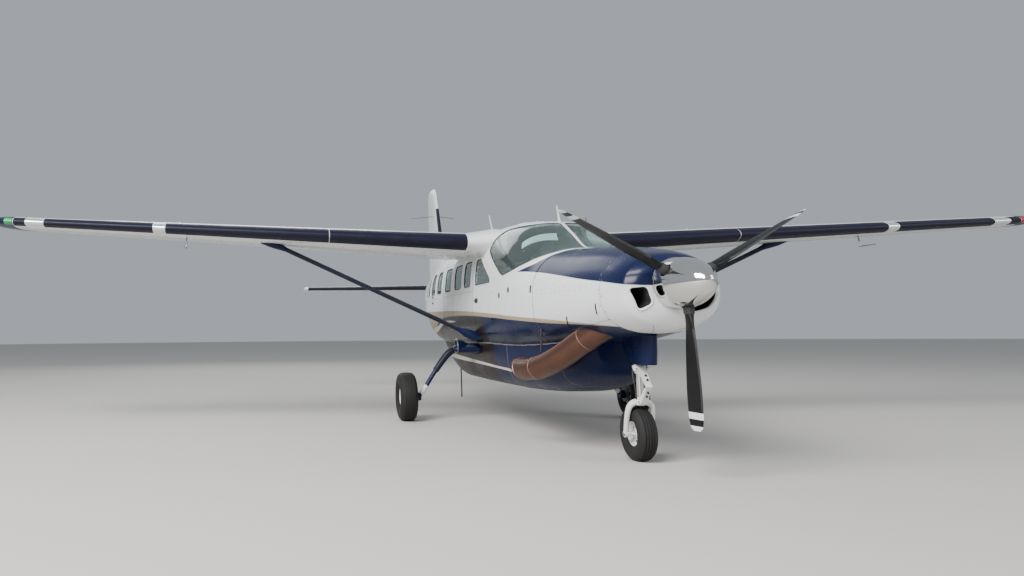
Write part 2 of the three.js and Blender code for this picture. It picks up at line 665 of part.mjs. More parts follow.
function wingStrut(wing) {
  const [foot, head] = [STRUT.foot, STRUT.head].map(([x, s, height]) => new THREE.Vector3(x, aft(s), height));
  const x = head.clone().sub(foot).normalize();
  const y = new THREE.Vector3(0, 1, 0).addScaledVector(x, -x.y).normalize();
  const z = new THREE.Vector3().crossVectors(x, y);
  const ring = ([share, chord, depth, lead]) => {
    const centre = foot.clone().lerp(head, share);
    const place = (run, rise) => centre.clone().addScaledVector(y, run - lead).addScaledVector(z, rise);
    return aerofoil(chord, depth, 0, (run, rise) => place(run, rise).toArray());
  };
  const bare = loft(STRUT.rings.map(ring));
  return bare.subtract(grownHull).subtract(wing.translate([0, 0, -SEAM])).subtract(wing);
}

function buildTail() {
  const planeRing = (x, inset) => {
    const share = (x - TAILPLANE.rootAt) / (TAILPLANE.tipAt - TAILPLANE.rootAt);
    const chord = between(TAILPLANE.rootChord, TAILPLANE.tipChord, share) - 2.4 * inset;
    const lead = between(TAILPLANE.rootLead, TAILPLANE.tipLead, share) + 1.2 * inset;
    const depth = TAILPLANE.depth * (1 - (2 * inset) / (TAILPLANE.depth * chord));
    return aerofoil(chord, depth, 0, (run, rise) => [x, aft(lead + run), TAILPLANE.height + rise]);
  };
  const whole = loft([planeRing(TAILPLANE.rootAt, 0), planeRing(TAILPLANE.tipAt, 0)]).subtract(grownHull);
  const share = TAILPLANE.hingeShare;
  const hinge = (x) => {
    const along = (x - TAILPLANE.rootAt) / (TAILPLANE.tipAt - TAILPLANE.rootAt);
    const chord = between(TAILPLANE.rootChord, TAILPLANE.tipChord, along);
    const lead = between(TAILPLANE.rootLead, TAILPLANE.tipLead, along);
    return hingeInRing(planeRing(x, 0), aft(lead + chord * share), 1, 2);
  };
  const a = hinge(TAILPLANE.elevatorFrom);
  const b = hinge(TAILPLANE.elevatorTo);
  const [rest, elevator] = splitSurface(whole, a.centre, b.centre, a.radius, b.radius, 200);
  const coreEnds = [TAILPLANE.rootAt - 30, TAILPLANE.tipAt - 40];
  const core = loft(coreEnds.map((x) => planeRing(x, TAILPLANE.wall)));
  const ahead = box([0, aft(10500), 2000], [4000, a.centre[1] - a.radius - SURFACE_GAP - 14, 2700]);
  const shell = rest.subtract(core.intersect(ahead));
  for (const [name, side] of SIDES) {
    add(`tailplane_${name}`, mirrored(shell, side), "white");
    add(`elevator_${name}`, mirrored(elevator, side), "white");
  }
}

function buildFin() {
  const finRing = (z, inset, keep = 1) => {
    const share = (z - FIN.rootAt) / (FIN.tipAt - FIN.rootAt);
    const lead = between(FIN.rootLead, FIN.tipLead, share) + 1.2 * inset;
    const full = between(FIN.rootTrail, FIN.tipTrail, share) - lead - 1.2 * inset;
    const chord = full * keep;
    const depth = FIN.depth * (1 - (2 * inset) / (FIN.depth * chord));
    return aerofoil(chord, depth, 0, (run, rise) => [rise, aft(lead + (full - chord) * 0.6 + run), z]);
  };
  const tall = loft([finRing(FIN.rootAt, 0), finRing(FIN.tipAt, 0), finRing(FIN.topAt, 0, 0.8)]);
  const hinge = (z, station) => hingeInRing(finRing(z, 0), aft(station), 1, 0);
  const a = hinge(FIN.rudderFrom, FIN.hingeFoot);
  const b = hinge(FIN.rudderTo, FIN.hingeHead);
  const [rest, rudder] = splitSurface(tall, a.centre, b.centre, a.radius, b.radius, 200);
  const core = loft([finRing(2300, FIN.wall), finRing(FIN.tipAt - 120, FIN.wall)]);
  const ahead = box([-300, aft(10000), 2000], [300, aft(FIN.hingeFoot) - a.radius - SURFACE_GAP - 20, 5000]);
  const dorsal = sidePrism(FIN.dorsal, -26, 26);
  const fin = rest.subtract(core.intersect(ahead)).add(dorsal).subtract(grownHull);
  const aheadOfEnd = box([-500, aft(8000), 2000], [500, aft(HULL_END) - 1, 5000]);
  const above = box([-500, aft(8000), 2445], [500, aft(HULL_END) + 400, 5000]);
  add("fin", fin.intersect(aheadOfEnd.add(above)), "white");
  add("rudder", rudder, "white");
}

// Propeller with its three blades feathered, one straight down
function buildPropeller() {
  const bladeRing = ([radius, chord, thickness, pitch]) => {
    const angle = THREE.MathUtils.degToRad(pitch);
    const ring = [];
    for (let i = 0; i < 10; i += 1) {
      const turn = (2 * Math.PI * i) / 10;
      const [run, rise] = [(chord / 2) * Math.cos(turn), (thickness / 2) * Math.sin(turn)];
      const x = run * Math.cos(angle) - rise * Math.sin(angle);
      const y = run * Math.sin(angle) + rise * Math.cos(angle);
      ring.push([x, y, radius]);
    }
    return ring;
  };
  const blade = loft([[60, 92, 92, 104], ...BLADE].map(bladeRing));
  const hubFrom = BLADE_STATION - 90;
  let propeller = bar([0, aft(hubFrom), HUB_HEIGHT], [0, aft(hubFrom + 180), HUB_HEIGHT], 130, 130, 14);
  const shaft = bar([0, aft(hubFrom + 60), HUB_HEIGHT], [0, aft(BOWL_BACK - SEAM), HUB_HEIGHT], 62, 62, 12);
  propeller = propeller.add(shaft);
  let holes = null;
  for (const spot of [60, 180, 300]) {
    const turn = THREE.MathUtils.degToRad(spot);
    propeller = propeller.add(blade.rotate([0, spot, 0]).translate([0, aft(BLADE_STATION), HUB_HEIGHT]));
    const end = [320 * Math.sin(turn), aft(BLADE_STATION), HUB_HEIGHT + 320 * Math.cos(turn)];
    const start = [140 * Math.sin(turn), aft(BLADE_STATION), HUB_HEIGHT + 140 * Math.cos(turn)];
    const hole = bar(start, end, 64, 74, 10);
    holes = holes ? holes.add(hole) : hole;
  }
  add("propeller", propeller, "black");
  const outside = [
    [0, 0], [30, 7], [57, 24], [96, 58], [132, 105], [168, 170], [196, 240], [220, 320], [234, 410], [246, 580],
  ];
  const back = [[63, 580], [63, 566]];
  const inside = [[234, 566], [222, 415], [120, 120], [0, 34]];
  const profile = [...outside, ...back, ...inside];
  add("spinner", turned(profile, [0, aft(0), HUB_HEIGHT], "y").subtract(holes), "chrome");
}

// A tyre's section turned about an axle along X
function tyre(wheel, x, y) {
  const half = wheel.width / 2;
  const outer = wheel.tyre;
  const bead = wheel.rim + SEAM;
  const wall = outer - bead;
  const profile = [
    [bead, -half * 0.62], [bead + wall * 0.5, -half],
    [outer - wall * 0.16, -half * 0.84], [outer, -half * 0.35],
    [outer, half * 0.35], [outer - wall * 0.16, half * 0.84],
    [bead + wall * 0.5, half], [bead, half * 0.62], [bead, -half * 0.62],
  ];
  return turned(profile, [x, y, wheel.height], "x");
}

function rim(wheel, x, y, bore) {
  const half = wheel.width * 0.31;
  const r = wheel.rim;
  const profile = [
    [bore, -half * 0.7], [r * 0.5, -half * 0.7], [r * 0.86, -half * 0.4], [r, -half],
    [r, half], [r * 0.86, half * 0.4], [r * 0.5, half * 0.7], [bore, half * 0.7], [bore, -half * 0.7],
  ];
  return turned(profile, [x, y, wheel.height], "x");
}

function buildNoseGear() {
  const y = aft(NOSE.steerStation);
  const axleY = aft(NOSE.axleStation);
  const strut = bar([0, y, 1280], [0, y, 905], 46, 46, 16).subtract(grownHull);
  add("nose_strut", strut, "white");
  // height, share kept of the fairing's chord
  const wedge = loft([[1300, 1], [1120, 0.86], [1000, 0.6]].map(([z, keep]) => {
    const place = (run, rise) => [rise, aft(1110 + 60 * (1 - keep)) + run, z];
    return aerofoil(820 * keep, 0.2 / keep, 0, place);
  }));
  const strutHole = bar([0, y, 1400], [0, y, 900], 46 + SEAM, 46 + SEAM, 16);
  add("nose_gear_fairing", wedge.subtract(grownHull).subtract(strutHole), "navy");
  const legs = [];
  for (const side of [1, -1]) {
    legs.push(bar([side * 60, y, 610], [side * 128, y + 20, 540], 26, 26, 8));
    legs.push(bar([side * 128, y + 20, 545], [side * 132, axleY, NOSE.height], 26, 22, 8));
  }
  let fork = bar([0, y, 905 - KNUCKLE.running], [0, y, 575], 34, 34, 16);
  fork = fork.add(box([-95, y - 50, 580], [95, y + 50, 640]));
  for (const leg of legs) fork = fork.add(leg);
  fork = fork.add(bar([-150, axleY, NOSE.height], [150, axleY, NOSE.height], 22, 22, 12));
  const collarHole = bar([0, y, 1000], [0, y, 900], 48, 48, 16);
  const collar = bar([0, y, 990], [0, y, 925], 66, 66, 16).subtract(collarHole);
  // the torque link's knee ahead of the strut
  const link = sidePrism([
    [1385, 990], [1450, 990], [1450, 940], [1330, 780],
    [1450, 640], [1450, 580], [1400, 580], [1260, 780],
  ], -28, 28);
  const linkCut = bar([0, y, 1000], [0, y, 906], 48, 48, 16);
  fork = fork.add(collar).add(link.subtract(linkCut));
  add("nose_fork", fork, "white");
  const bore = 23;
  add("nose_rim", rim(NOSE, 0, axleY, bore), "white");
  add("nose_tyre", tyre(NOSE, 0, axleY), "rubber");
}

function buildMainGear() {
  const y = aft(MAIN.axleStation);
  const podForm = pod(-SEAM);
  const path = [
    [600, y, 1062], [820, y, 1080], [980, y, 1076], [1120, y, 1010],
    [1330, y, 740], [1520, y, 450], [1600, y, MAIN.height],
  ];
  const leg = tube(path, 38, 38, 12, 8);
  const knuckle = bar([1560, y, MAIN.height], [1632, y, MAIN.height], 62, 62, 16);
  const axle = bar([1600, y, MAIN.height], [1850, y, MAIN.height], 30, 30, 16);
  const bulge = new THREE.SphereGeometry(1, 14, 8);
  bulge.scale(330, 360, 88);
  bulge.translate(680, y, 1092);
  const root = solidOf(bulge);
  const whole = leg.add(knuckle).add(axle).add(root).subtract(grownHull).subtract(podForm);
  const body = whole.decompose().sort((p, q) => q.volume() - p.volume())[0];
  for (const [name, side] of SIDES) {
    add(`main_gear_leg_${name}`, mirrored(body, side), "navy");
    const x = side * MAIN.halfTrack;
    add(`main_rim_${name}`, rim(MAIN, x, y, 31), "white");
    add(`main_tyre_${name}`, tyre(MAIN, x, y), "rubber");
  }
}

// Belly pod: station, underside, half width
const POD = [
  [1960, 985, 250], [2080, 850, 400], [2450, 705, 500], [3100, 605, 590], [4100, 575, 660],
  [5200, 570, 680], [6900, 575, 680], [7500, 680, 660], [8100, 930, 620], [8420, 1110, 590],
];
const POD_WALL = 22;
const POD_TOP = 1330;
const POD_POWER = 4.2;
// forward edge, aft edge of each pod door on the left side
const POD_DOORS = [[3120, 3940], [4200, 5180], [6120, 6900]];
const POD_DOOR_GAP = 13;
const POD_DOOR = { low: 690, high: 1030 };
const POD_BULKHEADS = [4030, 5900];

function pod(inset) {
  const ring = ([station, low, half]) => {
    const points = [];
    for (let i = 0; i <= 10; i += 1) {
      const angle = (Math.PI * i) / 10;
      const [across, down] = [Math.cos(angle), Math.sin(angle)];
      points.push([
        (half - inset) * Math.sign(across) * Math.abs(across) ** (2 / POD_POWER),
        aft(station),
        POD_TOP - (POD_TOP - low - inset) * Math.abs(down) ** (2 / POD_POWER),
      ]);
    }
    return points;
  };
  const rows = POD.map((row) => [...row]);
  rows[0][0] += inset;
  rows[rows.length - 1][0] -= inset;
  return loft(rows.map(ring));
}

// Half width of the pod at a station and height
function podHalf(station, height) {
  const [low, half] = [1, 2].map((column) => columnAt(POD, station, column));
  const down = ((POD_TOP - height) / (POD_TOP - low)) ** (POD_POWER / 2);
  return half * (1 - down * down) ** (1 / POD_POWER);
}

function buildPod() {
  const room = pod(POD_WALL);
  let tub = pod(0).subtract(room.add(room.translate([0, 0, 60])));
  for (const station of POD_BULKHEADS) {
    const slice = box([-800, aft(station) - 8, 400], [800, aft(station) + 8, 1400]);
    tub = tub.add(pod(POD_WALL - 2).intersect(slice));
  }
  tub = tub.subtract(grownHull);
  const side = (outline) => sidePrism(outline, 300, 900);
  const doors = POD_DOORS.map(([from, to]) => {
    const outline = rectangle(from, to, POD_DOOR.low, POD_DOOR.high);
    const plain = tub.intersect(side(drawnIn(outline, POD_DOOR_GAP)));
    const line = [from, to].map((station) => [
      podHalf(station, POD_DOOR.low) + POD_HINGE_OUT, aft(station), POD_DOOR.low + HINGE_IN,
    ]);
    const [frame, door] = hang(tub.subtract(side(outline)), plain, line, [0, 0, 1], [-1, 0, 0]);
    tub = frame;
    return door;
  });
  add("cargo_pod", tub, "navy");
  ["forward", "middle", "aft"].forEach((place, i) => add(`pod_door_${place}`, doors[i], "navy"));
}

// Cabin fittings
const CREW_SEAT = { station: 4350, x: 360 };
const SEAT_STATIONS = [5250, 6050, 6850];
// side, x of the seats' middle, width
const SEAT_ROWS = [["left", 480, 430], ["right", -440, 500]];
const PANEL_SECTION = [[3230, 1830], [3400, 1810], [3400, 2190], [3300, 2230], [3230, 2200]];

function seat(x, station, width) {
  const cushion = [[station, 1570], [station + 470, 1560], [station + 470, 1690], [station, 1700]];
  const back = [[station + 400, 1560], [station + 490, 1560], [station + 600, 2240], [station + 500, 2260]];
  const legs = rectangle(station + 60, station + 110, FLOOR_TOP + SEAM, 1600);
  const legsAft = legs.map(([s, h]) => [s + 300, h]);
  const [from, to] = [x - width / 2, x + width / 2];
  let solid = sidePrism(cushion, from, to).add(sidePrism(back, from, to));
  for (const leg of [legs, legsAft]) {
    solid = solid.add(sidePrism(leg, from + 60, from + 90)).add(sidePrism(leg, to - 90, to - 60));
  }
  return solid;
}

function buildCabinFittings() {
  const boards = box([-900, aft(2600), FLOOR_TOP - 40], [900, aft(CABIN_END - 32), FLOOR_TOP]);
  add("cabin_floor", cabinRoom.intersect(boards), "grey");
  const panel = sidePrism(PANEL_SECTION, -900, 900);
  add("instrument_panel", cabinRoom.intersect(panel), "black");
  for (const [name, side] of SIDES) {
    add(`crew_seat_${name}`, seat(side * CREW_SEAT.x, CREW_SEAT.station, 450), "cloth");
  }
  for (const [name, x, width] of SEAT_ROWS) {
    const rails = [x - width / 2 + 75, x + width / 2 - 75].map((at) => box(
      [at - 20, aft(SEAT_STATIONS[0]), FLOOR_TOP + SEAM],
      [at + 20, aft(SEAT_STATIONS[2] + 480), FLOOR_TOP + 22],
    ));
    let row = rails[0].add(rails[1]);
    for (const station of SEAT_STATIONS) row = row.add(seat(x, station, width));
    add(`passenger_seats_${name}`, row, "cloth");
  }
}

buildCabin();
buildNose();
buildTailcone();
buildWings();
buildTail();
buildFin();
buildPropeller();
buildNoseGear();
buildMainGear();
buildPod();
buildCabinFittings();

export default craft;
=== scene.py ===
"""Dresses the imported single-engine turboprop aircraft. Metres; the nose points to -Y, the left wing to +X.
A station is a distance aft of the spinner's tip, so y = station - 6.34."""
import math

import bpy
import numpy as np
from mathutils import Matrix


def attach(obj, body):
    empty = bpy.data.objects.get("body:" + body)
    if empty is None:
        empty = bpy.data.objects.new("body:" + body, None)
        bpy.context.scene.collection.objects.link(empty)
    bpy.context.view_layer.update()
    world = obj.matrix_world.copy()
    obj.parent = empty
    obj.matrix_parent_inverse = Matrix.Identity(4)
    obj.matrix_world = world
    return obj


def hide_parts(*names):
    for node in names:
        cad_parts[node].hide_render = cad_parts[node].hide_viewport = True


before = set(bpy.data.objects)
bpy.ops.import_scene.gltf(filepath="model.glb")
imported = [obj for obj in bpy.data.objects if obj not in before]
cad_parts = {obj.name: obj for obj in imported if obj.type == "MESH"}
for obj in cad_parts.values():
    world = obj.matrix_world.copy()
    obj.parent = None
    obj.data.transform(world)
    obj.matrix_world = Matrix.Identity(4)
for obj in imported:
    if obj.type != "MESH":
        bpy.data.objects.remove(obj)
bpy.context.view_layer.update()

# Camera, floor and light
# The photographer stood ahead of the right wing, with the lens level with a person's chest.
# The floor is a plain pale disc; the light is a pale sky with three large soft panels.
length, half_length = 12.68, 6.34
camera_at = (-3.8093, -13.1734, 1.3576)
yaw, pitch, roll = 0.0471, 0.1295, -0.0077
focal_pixels, photo_width, sensor_width = 800.0, 1024.0, 36.0
picture_shift = (-200.0, -60.0)
floor_radius, floor_sides, floor_drop = 110, 96, 0.001


def aft(station):
    """y of a station."""
    return station - half_length


def unit(vectors):
    """Vectors shortened to a length of one."""
    return vectors / np.linalg.norm(vectors, axis=-1, keepdims=True)


def circle(count):
    """Even angles round a full turn."""
    return np.linspace(0, 2 * np.pi, count, endpoint=False)


def placed(data, axes=np.eye(3), spot=(0, 0, 0)):
    """An object made of some data, turned to three axes and set at a spot."""
    made = bpy.data.objects.new(data.name, data)
    bpy.context.collection.objects.link(made)
    rows = np.stack(axes, 1)
    made.matrix_world = Matrix([[*row, place] for row, place in zip(rows, spot)] + [[0, 0, 0, 1]])
    return made


def set_inputs(node, **values):
    """Values of a node's inputs, with the blanks of their names written as underscores."""
    for name, value in values.items():
        node.inputs[name.replace("_", " ")].default_value = value


ahead = np.array([math.sin(yaw) * math.cos(pitch), math.cos(yaw) * math.cos(pitch), math.sin(pitch)])
level = np.array([math.cos(yaw), -math.sin(yaw), 0.0])
upward = np.cross(level, ahead)
lens = bpy.data.cameras.new("photographer")
lens.sensor_fit, lens.sensor_width = "HORIZONTAL", sensor_width
lens.lens = sensor_width * focal_pixels / photo_width
lens.shift_x, lens.shift_y = -picture_shift[0] / photo_width, picture_shift[1] / photo_width
lens.clip_end = 400
bpy.context.scene.camera = placed(lens, (level * math.cos(roll) + upward * math.sin(roll),
                                         upward * math.cos(roll) - level * math.sin(roll), -ahead), camera_at)

floor_mesh = bpy.data.meshes.new("floor")
turn = circle(floor_sides)
floor_rim = [floor_radius * np.cos(turn), floor_radius * np.sin(turn), np.full(floor_sides, -floor_drop)]
floor_mesh.from_pydata(np.stack(floor_rim, 1).tolist(), [], [list(range(floor_sides))])
floor_finish = bpy.data.materials.new("floor")
floor_finish.use_nodes = True
set_inputs(floor_finish.node_tree.nodes["Principled BSDF"], Base_Color=(0.52, 0.5, 0.465, 1), Roughness=0.85)
floor_mesh.materials.append(floor_finish)
placed(floor_mesh)

sky = bpy.data.worlds.new("studio")
sky.use_nodes = True
set_inputs(sky.node_tree.nodes["Background"], Color=(0.8, 0.87, 0.95, 1), Strength=0.5)
bpy.context.scene.world = sky
# name, place, aimed at, width, power in watts
for name, spot, aim, wide, power in (("key", (-13, -16, 14), (0, -1, 1.5), 12, 9500),
                                     ("fill", (15, -12, 9), (0, 0, 1.5), 10, 900),
                                     ("back", (-4, 18, 13), (0, 2, 2), 12, 1100)):
    light = bpy.data.lights.new(name, "AREA")
    light.size, light.energy = wide, power
    back = unit(np.array(spot, float) - aim)
    side = unit(np.cross((0, 0, 1), back))
    placed(light, (side, np.cross(back, side), back), spot)

# Cabin shell
# Riveted aluminium skins on frames: two sides, the roof and the belly, painted white above and navy below,
# with openings for doors, windows and windscreen cut to their real outlines. Each skin is as thick as the wall.
# station, belly, widest height, roof, half width, roundness below, roundness above
hull_rows = np.array([
    [0.6, 1.5, 1.74, 1.99, 0.345, 2.1, 2.1], [0.64, 1.435, 1.73, 2.045, 0.43, 2.2, 2.1],
    [0.74, 1.375, 1.725, 2.1, 0.5, 2.3, 2.2], [0.95, 1.33, 1.72, 2.15, 0.56, 2.4, 2.2],
    [1.5, 1.26, 1.72, 2.235, 0.645, 2.6, 2.3], [2.1, 1.19, 1.72, 2.295, 0.71, 2.9, 2.4],
    [2.54, 1.15, 1.72, 2.33, 0.755, 3.2, 2.5], [2.57, 1.148, 1.72, 2.334, 0.759, 3.2, 2.5],
    [2.72, 1.14, 1.72, 2.355, 0.775, 3.4, 2.5], [3.2, 1.12, 1.73, 2.6, 0.81, 3.7, 2.6],
    [3.6, 1.11, 1.74, 2.79, 0.83, 4.0, 2.8], [4.2, 1.1, 1.75, 2.875, 0.84, 4.0, 3.0],
    [4.9, 1.1, 1.75, 2.905, 0.84, 4.0, 3.1], [6.5, 1.1, 1.75, 2.89, 0.84, 4.0, 3.1],
    [7.6, 1.102, 1.755, 2.84, 0.836, 4.0, 3.0], [8.5, 1.15, 1.785, 2.77, 0.805, 3.7, 2.9],
    [9.34, 1.35, 1.89, 2.69, 0.725, 3.1, 2.6], [10.4, 1.68, 2.07, 2.585, 0.555, 2.6, 2.4],
    [11.4, 1.96, 2.22, 2.5, 0.36, 2.4, 2.3], [12.1, 2.12, 2.29, 2.45, 0.19, 2.3, 2.3]])
cabin_start, cabin_end, cabin_wall = 2.57, 9.34, 0.036
floor_top, roof_split, door_gap = 1.29, 2.56, 0.008
crew_door = [(4.01, 1.318), (4.99, 1.318), (4.99, 2.445), (4.64, 2.445), (4.01, 2.06)]
crew_window = [(4.12, 2.02), (4.935, 2.02), (4.935, 2.405), (4.69, 2.405), (4.12, 2.075)]
windscreen = [(2.64, 2.4), (2.665, 2.305), (2.96, 2.18), (3.24, 2.115), (3.54, 2.072), (3.65, 2.1),
              (4.09, 2.34), (4.34, 2.478), (4.37, 2.56), (4.32, 2.69), (4.12, 2.762),
              (3.52, 2.765), (3.44, 2.95), (2.64, 2.95)]
windows = [(5.2, 5.64), (5.82, 6.32), (6.56, 7.06), (7.35, 7.78), (7.99, 8.4), (8.66, 8.9),
           (9.0, 9.2)]
sill, lintel, pane_corner = 2.02, 2.415, 0.085
rear_doors = {"left": (7.23, 8.52), "right": (7.86, 8.52)}
rear_low, rear_mid, rear_high = 1.32, 1.95, 2.52
door_windows = {"left": (3, 4), "right": (4,)}
post_turn = np.radians(88.6)  # the windscreen's halves end at the centre post


def smooth_rows(rows, at):
    """Columns of a table between its rows: cubic pieces whose slope at a row is the harmonic mean of the
    slopes on both sides, and zero where they change sign."""
    x = rows[:, 0]
    k = np.clip(np.searchsorted(x, at) - 1, 0, len(x) - 2)
    slope = np.diff(rows[:, 1:], axis=0) / np.diff(x)[:, None]
    product, total = slope[:-1] * slope[1:], slope[:-1] + slope[1:]
    inner = np.where(product <= 0, 0, 2 * product / np.where(total == 0, 1, total))
    tangent = np.vstack([slope[0], inner, slope[-1]])
    span = (x[k + 1] - x[k])[..., None]
    t = (at - x[k])[..., None] / span
    a, b = rows[k, 1:], rows[k + 1, 1:]
    return a + (b - a) * t * t * (3 - 2 * t) + t * (1 - t) * span * ((1 - t) * tangent[k] - t * tangent[k + 1])


def hull_sizes(station):
    """Belly, widest height, roof, half width and the two powers of the hull at stations."""
    return np.moveaxis(smooth_rows(hull_rows, station), -1, 0)


def hull_point(station, turn, lift=0.0):
    """Point of the hull at a station and an angle round it: a superellipse in polar form,
    r = ((|cos|/half)^p + (|sin|/reach)^p)^(-1/p), with its own reach and power above and below."""
    low, wide, high, half, low_power, high_power = hull_sizes(station)
    above = np.sin(turn) >= 0
    reach = np.where(above, high - wide, wide - low) + lift
    power = np.where(above, high_power, low_power)
    r = ((abs(np.cos(turn)) / (half + lift)) ** power + (abs(np.sin(turn)) / reach) ** power) ** (-1 / power)
    return np.stack([r * np.cos(turn), aft(station), wide + r * np.sin(turn)], -1)


def hull_turn(station, height):
    """Angle on the left half of the hull at which it has a height: the inverse of hull_point."""
    low, wide, high, half, low_power, high_power = hull_sizes(station)
    above = height >= wide
    share = np.clip(np.where(above, (height - wide) / (high - wide), (wide - height) / (wide - low)), 0, 1)
    power = np.where(above, high_power, low_power)
    return np.arctan2(height - wide, half * (1 - share ** power) ** (1 / power))


def on_hull(line, most=4.0):
    """Stations and heights as stations and angles, the angles no wider than a limit."""
    line = np.asarray(line, float)
    return np.stack([line[:, 0], np.minimum(hull_turn(line[:, 0], line[:, 1]), most)], 1)


def dense(outline, step=0.02):
    """The same closed outline with extra points along its straight runs."""
    points = np.asarray(outline, float)
    runs = []
    for a, b in zip(points, np.roll(points, -1, 0)):
        count = max(1, int(np.ceil(np.linalg.norm(b - a) / step)))
        runs.append(a + (b - a) * (np.arange(count) / count)[:, None])
    return np.concatenate(runs)


def rounded(outline, radius):
    """A closed outline whose corners are arcs of about one radius, each drawn as a quadratic curve."""
    points = np.asarray(outline, float)
    runs = []
    for before, corner, after in zip(np.roll(points, 1, 0), points, np.roll(points, -1, 0)):
        a, b = before - corner, after - corner
        reach = min(radius, 0.48 * np.linalg.norm(a), 0.48 * np.linalg.norm(b))
        start = corner + a / np.linalg.norm(a) * reach
        end = corner + b / np.linalg.norm(b) * reach
        t = np.linspace(0, 1, 9)[:, None]
        runs.append((1 - t) ** 2 * start + 2 * t * (1 - t) * corner + t ** 2 * end)
    return dense(np.concatenate(runs))


def grown(outline, gap):
    """A closed outline pushed outwards by a gap, inwards where the gap is negative."""
    points = np.asarray(outline, float)
    run = np.roll(points, -1, 0) - points
    area = (points[:, 0] * np.roll(points[:, 1], -1) - points[:, 1] * np.roll(points[:, 0], -1)).sum()
    normal = np.stack([run[:, 1], -run[:, 0]], 1) / np.linalg.norm(run, axis=1)[:, None] * np.sign(area)
    both = normal + np.roll(normal, 1, 0)
    return points + both * (2 * gap / (both ** 2).sum(1))[:, None]


def rectangle(start, end, low, high, radius=0.0):
    """A rectangle in the side view, with rounded corners where a radius is given."""
    corners = [(start, low), (end, low), (end, high), (start, high)]
    return rounded(corners, radius) if radius else corners


def within(points, outline):
    """Whether points lie inside a closed outline, by counting the crossings of a ray."""
    a, b = outline, np.roll(outline, -1, 0)
    y = points[..., 1, None]
    crosses = (a[:, 1] > y) != (b[:, 1] > y)
    rise = np.where(b[:, 1] == a[:, 1], 1, b[:, 1] - a[:, 1])
    x = a[:, 0] + (y - a[:, 1]) / rise * (b[:, 0] - a[:, 0])
    return (crosses & (points[..., 0, None] < x)).sum(-1) % 2 == 1


def cut_grid(us, vs, outline, holes):
    """Cells of an even grid that lie inside an outline and outside its holes. The vertices at a cut are moved
    onto the nearest line. Gives the grid's points and the quads that stay."""
    points = np.stack(np.meshgrid(us, vs, indexing="ij"), -1)
    middle = (points[:-1, :-1] + points[1:, 1:]) / 2
    keep = within(middle, outline)
    for hole in holes:
        keep &= ~within(middle, hole)
    around = np.zeros((2, len(us), len(vs)))
    for cells, count in ((keep, around[0]), (np.ones_like(keep), around[1])):
        count[:-1, :-1] += cells
        count[1:, :-1] += cells
        count[:-1, 1:] += cells
        count[1:, 1:] += cells
    cell = np.array([us[1] - us[0], vs[1] - vs[0]])
    edge = (around[0] > 0) & (around[0] < around[1])
    lines = [outline, *holes]
    a = np.concatenate(lines) / cell
    b = np.concatenate([np.roll(line, -1, 0) for line in lines]) / cell
    loose = points[edge] / cell
    run = b - a
    share = np.clip(((loose[:, None] - a) * run).sum(-1) / np.maximum((run ** 2).sum(-1), 1e-12), 0, 1)
    nearest = a + share[..., None] * run
    distance = ((loose[:, None] - nearest) ** 2).sum(-1)
    best = distance.argmin(1)
    rows = np.arange(len(loose))
    points[edge] = np.where(distance[rows, best][:, None] < 1.6, nearest[rows, best], loose) * cell
    index = np.arange(points[..., 0].size).reshape(points.shape[:2])
    quads = np.stack([index[:-1, :-1], index[1:, :-1], index[1:, 1:], index[:-1, 1:]], -1)
    return points.reshape(-1, 2), quads[keep]


def walled(outer, inner, faces):
    """A closed shell of an outer and an inner skin with the same faces, joined round every edge."""
    edges = np.stack([faces, np.roll(faces, -1, 1)], -1).reshape(-1, 2)
    ends = np.sort(edges, 1)
    _, first, count = np.unique(ends, axis=0, return_index=True, return_counts=True)
    a, b = edges[first[count == 1]].T
    n = len(outer)
    return np.concatenate([outer, inner]), [faces, faces[:, ::-1] + n, np.stack([b, a, a + n, b + n], 1)]


def mirrored(form):
    """The same form on the other side of the aircraft."""
    points, faces = form
    return points * (-1, 1, 1), [face[:, ::-1] for face in faces]


def both_sides(*forms):
    """Forms of the left side and the same on the right."""
    return [*forms, *map(mirrored, forms)]


def piece(name, forms, finish, body, replaces=(), sharp=32):
    """One object from forms, each its points and its lists of faces. Edges sharper than a limit stay sharp."""
    points, faces, base = [], [], 0
    for form_points, form_faces in forms:
        used = np.zeros(len(form_points), bool)
        for face in form_faces:
            used[face] = True
        number = np.cumsum(used) - 1 + base
        points.append(form_points[used])
        for face in form_faces:
            faces += number[face].tolist()
        base += int(used.sum())
    mesh = bpy.data.meshes.new(name)
    mesh.from_pydata(np.concatenate(points).tolist(), [], faces)
    mesh.validate()
    mesh.shade_smooth()
    mesh.set_sharp_from_angle(angle=math.radians(sharp))
    mesh.materials.append(finish)
    made = bpy.data.objects.new(name, mesh)
    bpy.context.collection.objects.link(made)
    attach(made, body)
    if replaces:
        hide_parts(*replaces)
    return made


def side_pieces(*rows):
    """Pieces of the left side and their mirror images on the right. A row holds a name, forms, finish, slot,
    body and replaced node, and {} in the names stands for the side."""
    for side in ("left", "right"):
        for name, forms, finish, slot, body, *nodes in rows:
            forms = forms if side == "left" else [mirrored(form) for form in forms]
            piece(name.format(side), forms, finish, body.format(side), [node.format(side) for node in nodes])


def hull_panel(start, end, low, high, outline, holes=(), wall=cabin_wall, lift=0.0, cell=0.024):
    """A skin of the hull's left half between two stations and two angles in degrees, cut to a side-view outline."""
    low, high = np.radians(low), np.radians(high)
    us = np.linspace(start, end, max(3, int((end - start) / cell) + 1))
    vs = np.linspace(low, high, max(3, int((high - low) * 0.95 / cell) + 1))
    spots, quads = cut_grid(us, vs, on_hull(dense(outline), 2.0), [on_hull(dense(hole), post_turn) for hole in holes])
    return walled(hull_point(*spots.T, lift), hull_point(*spots.T, lift - wall), quads)


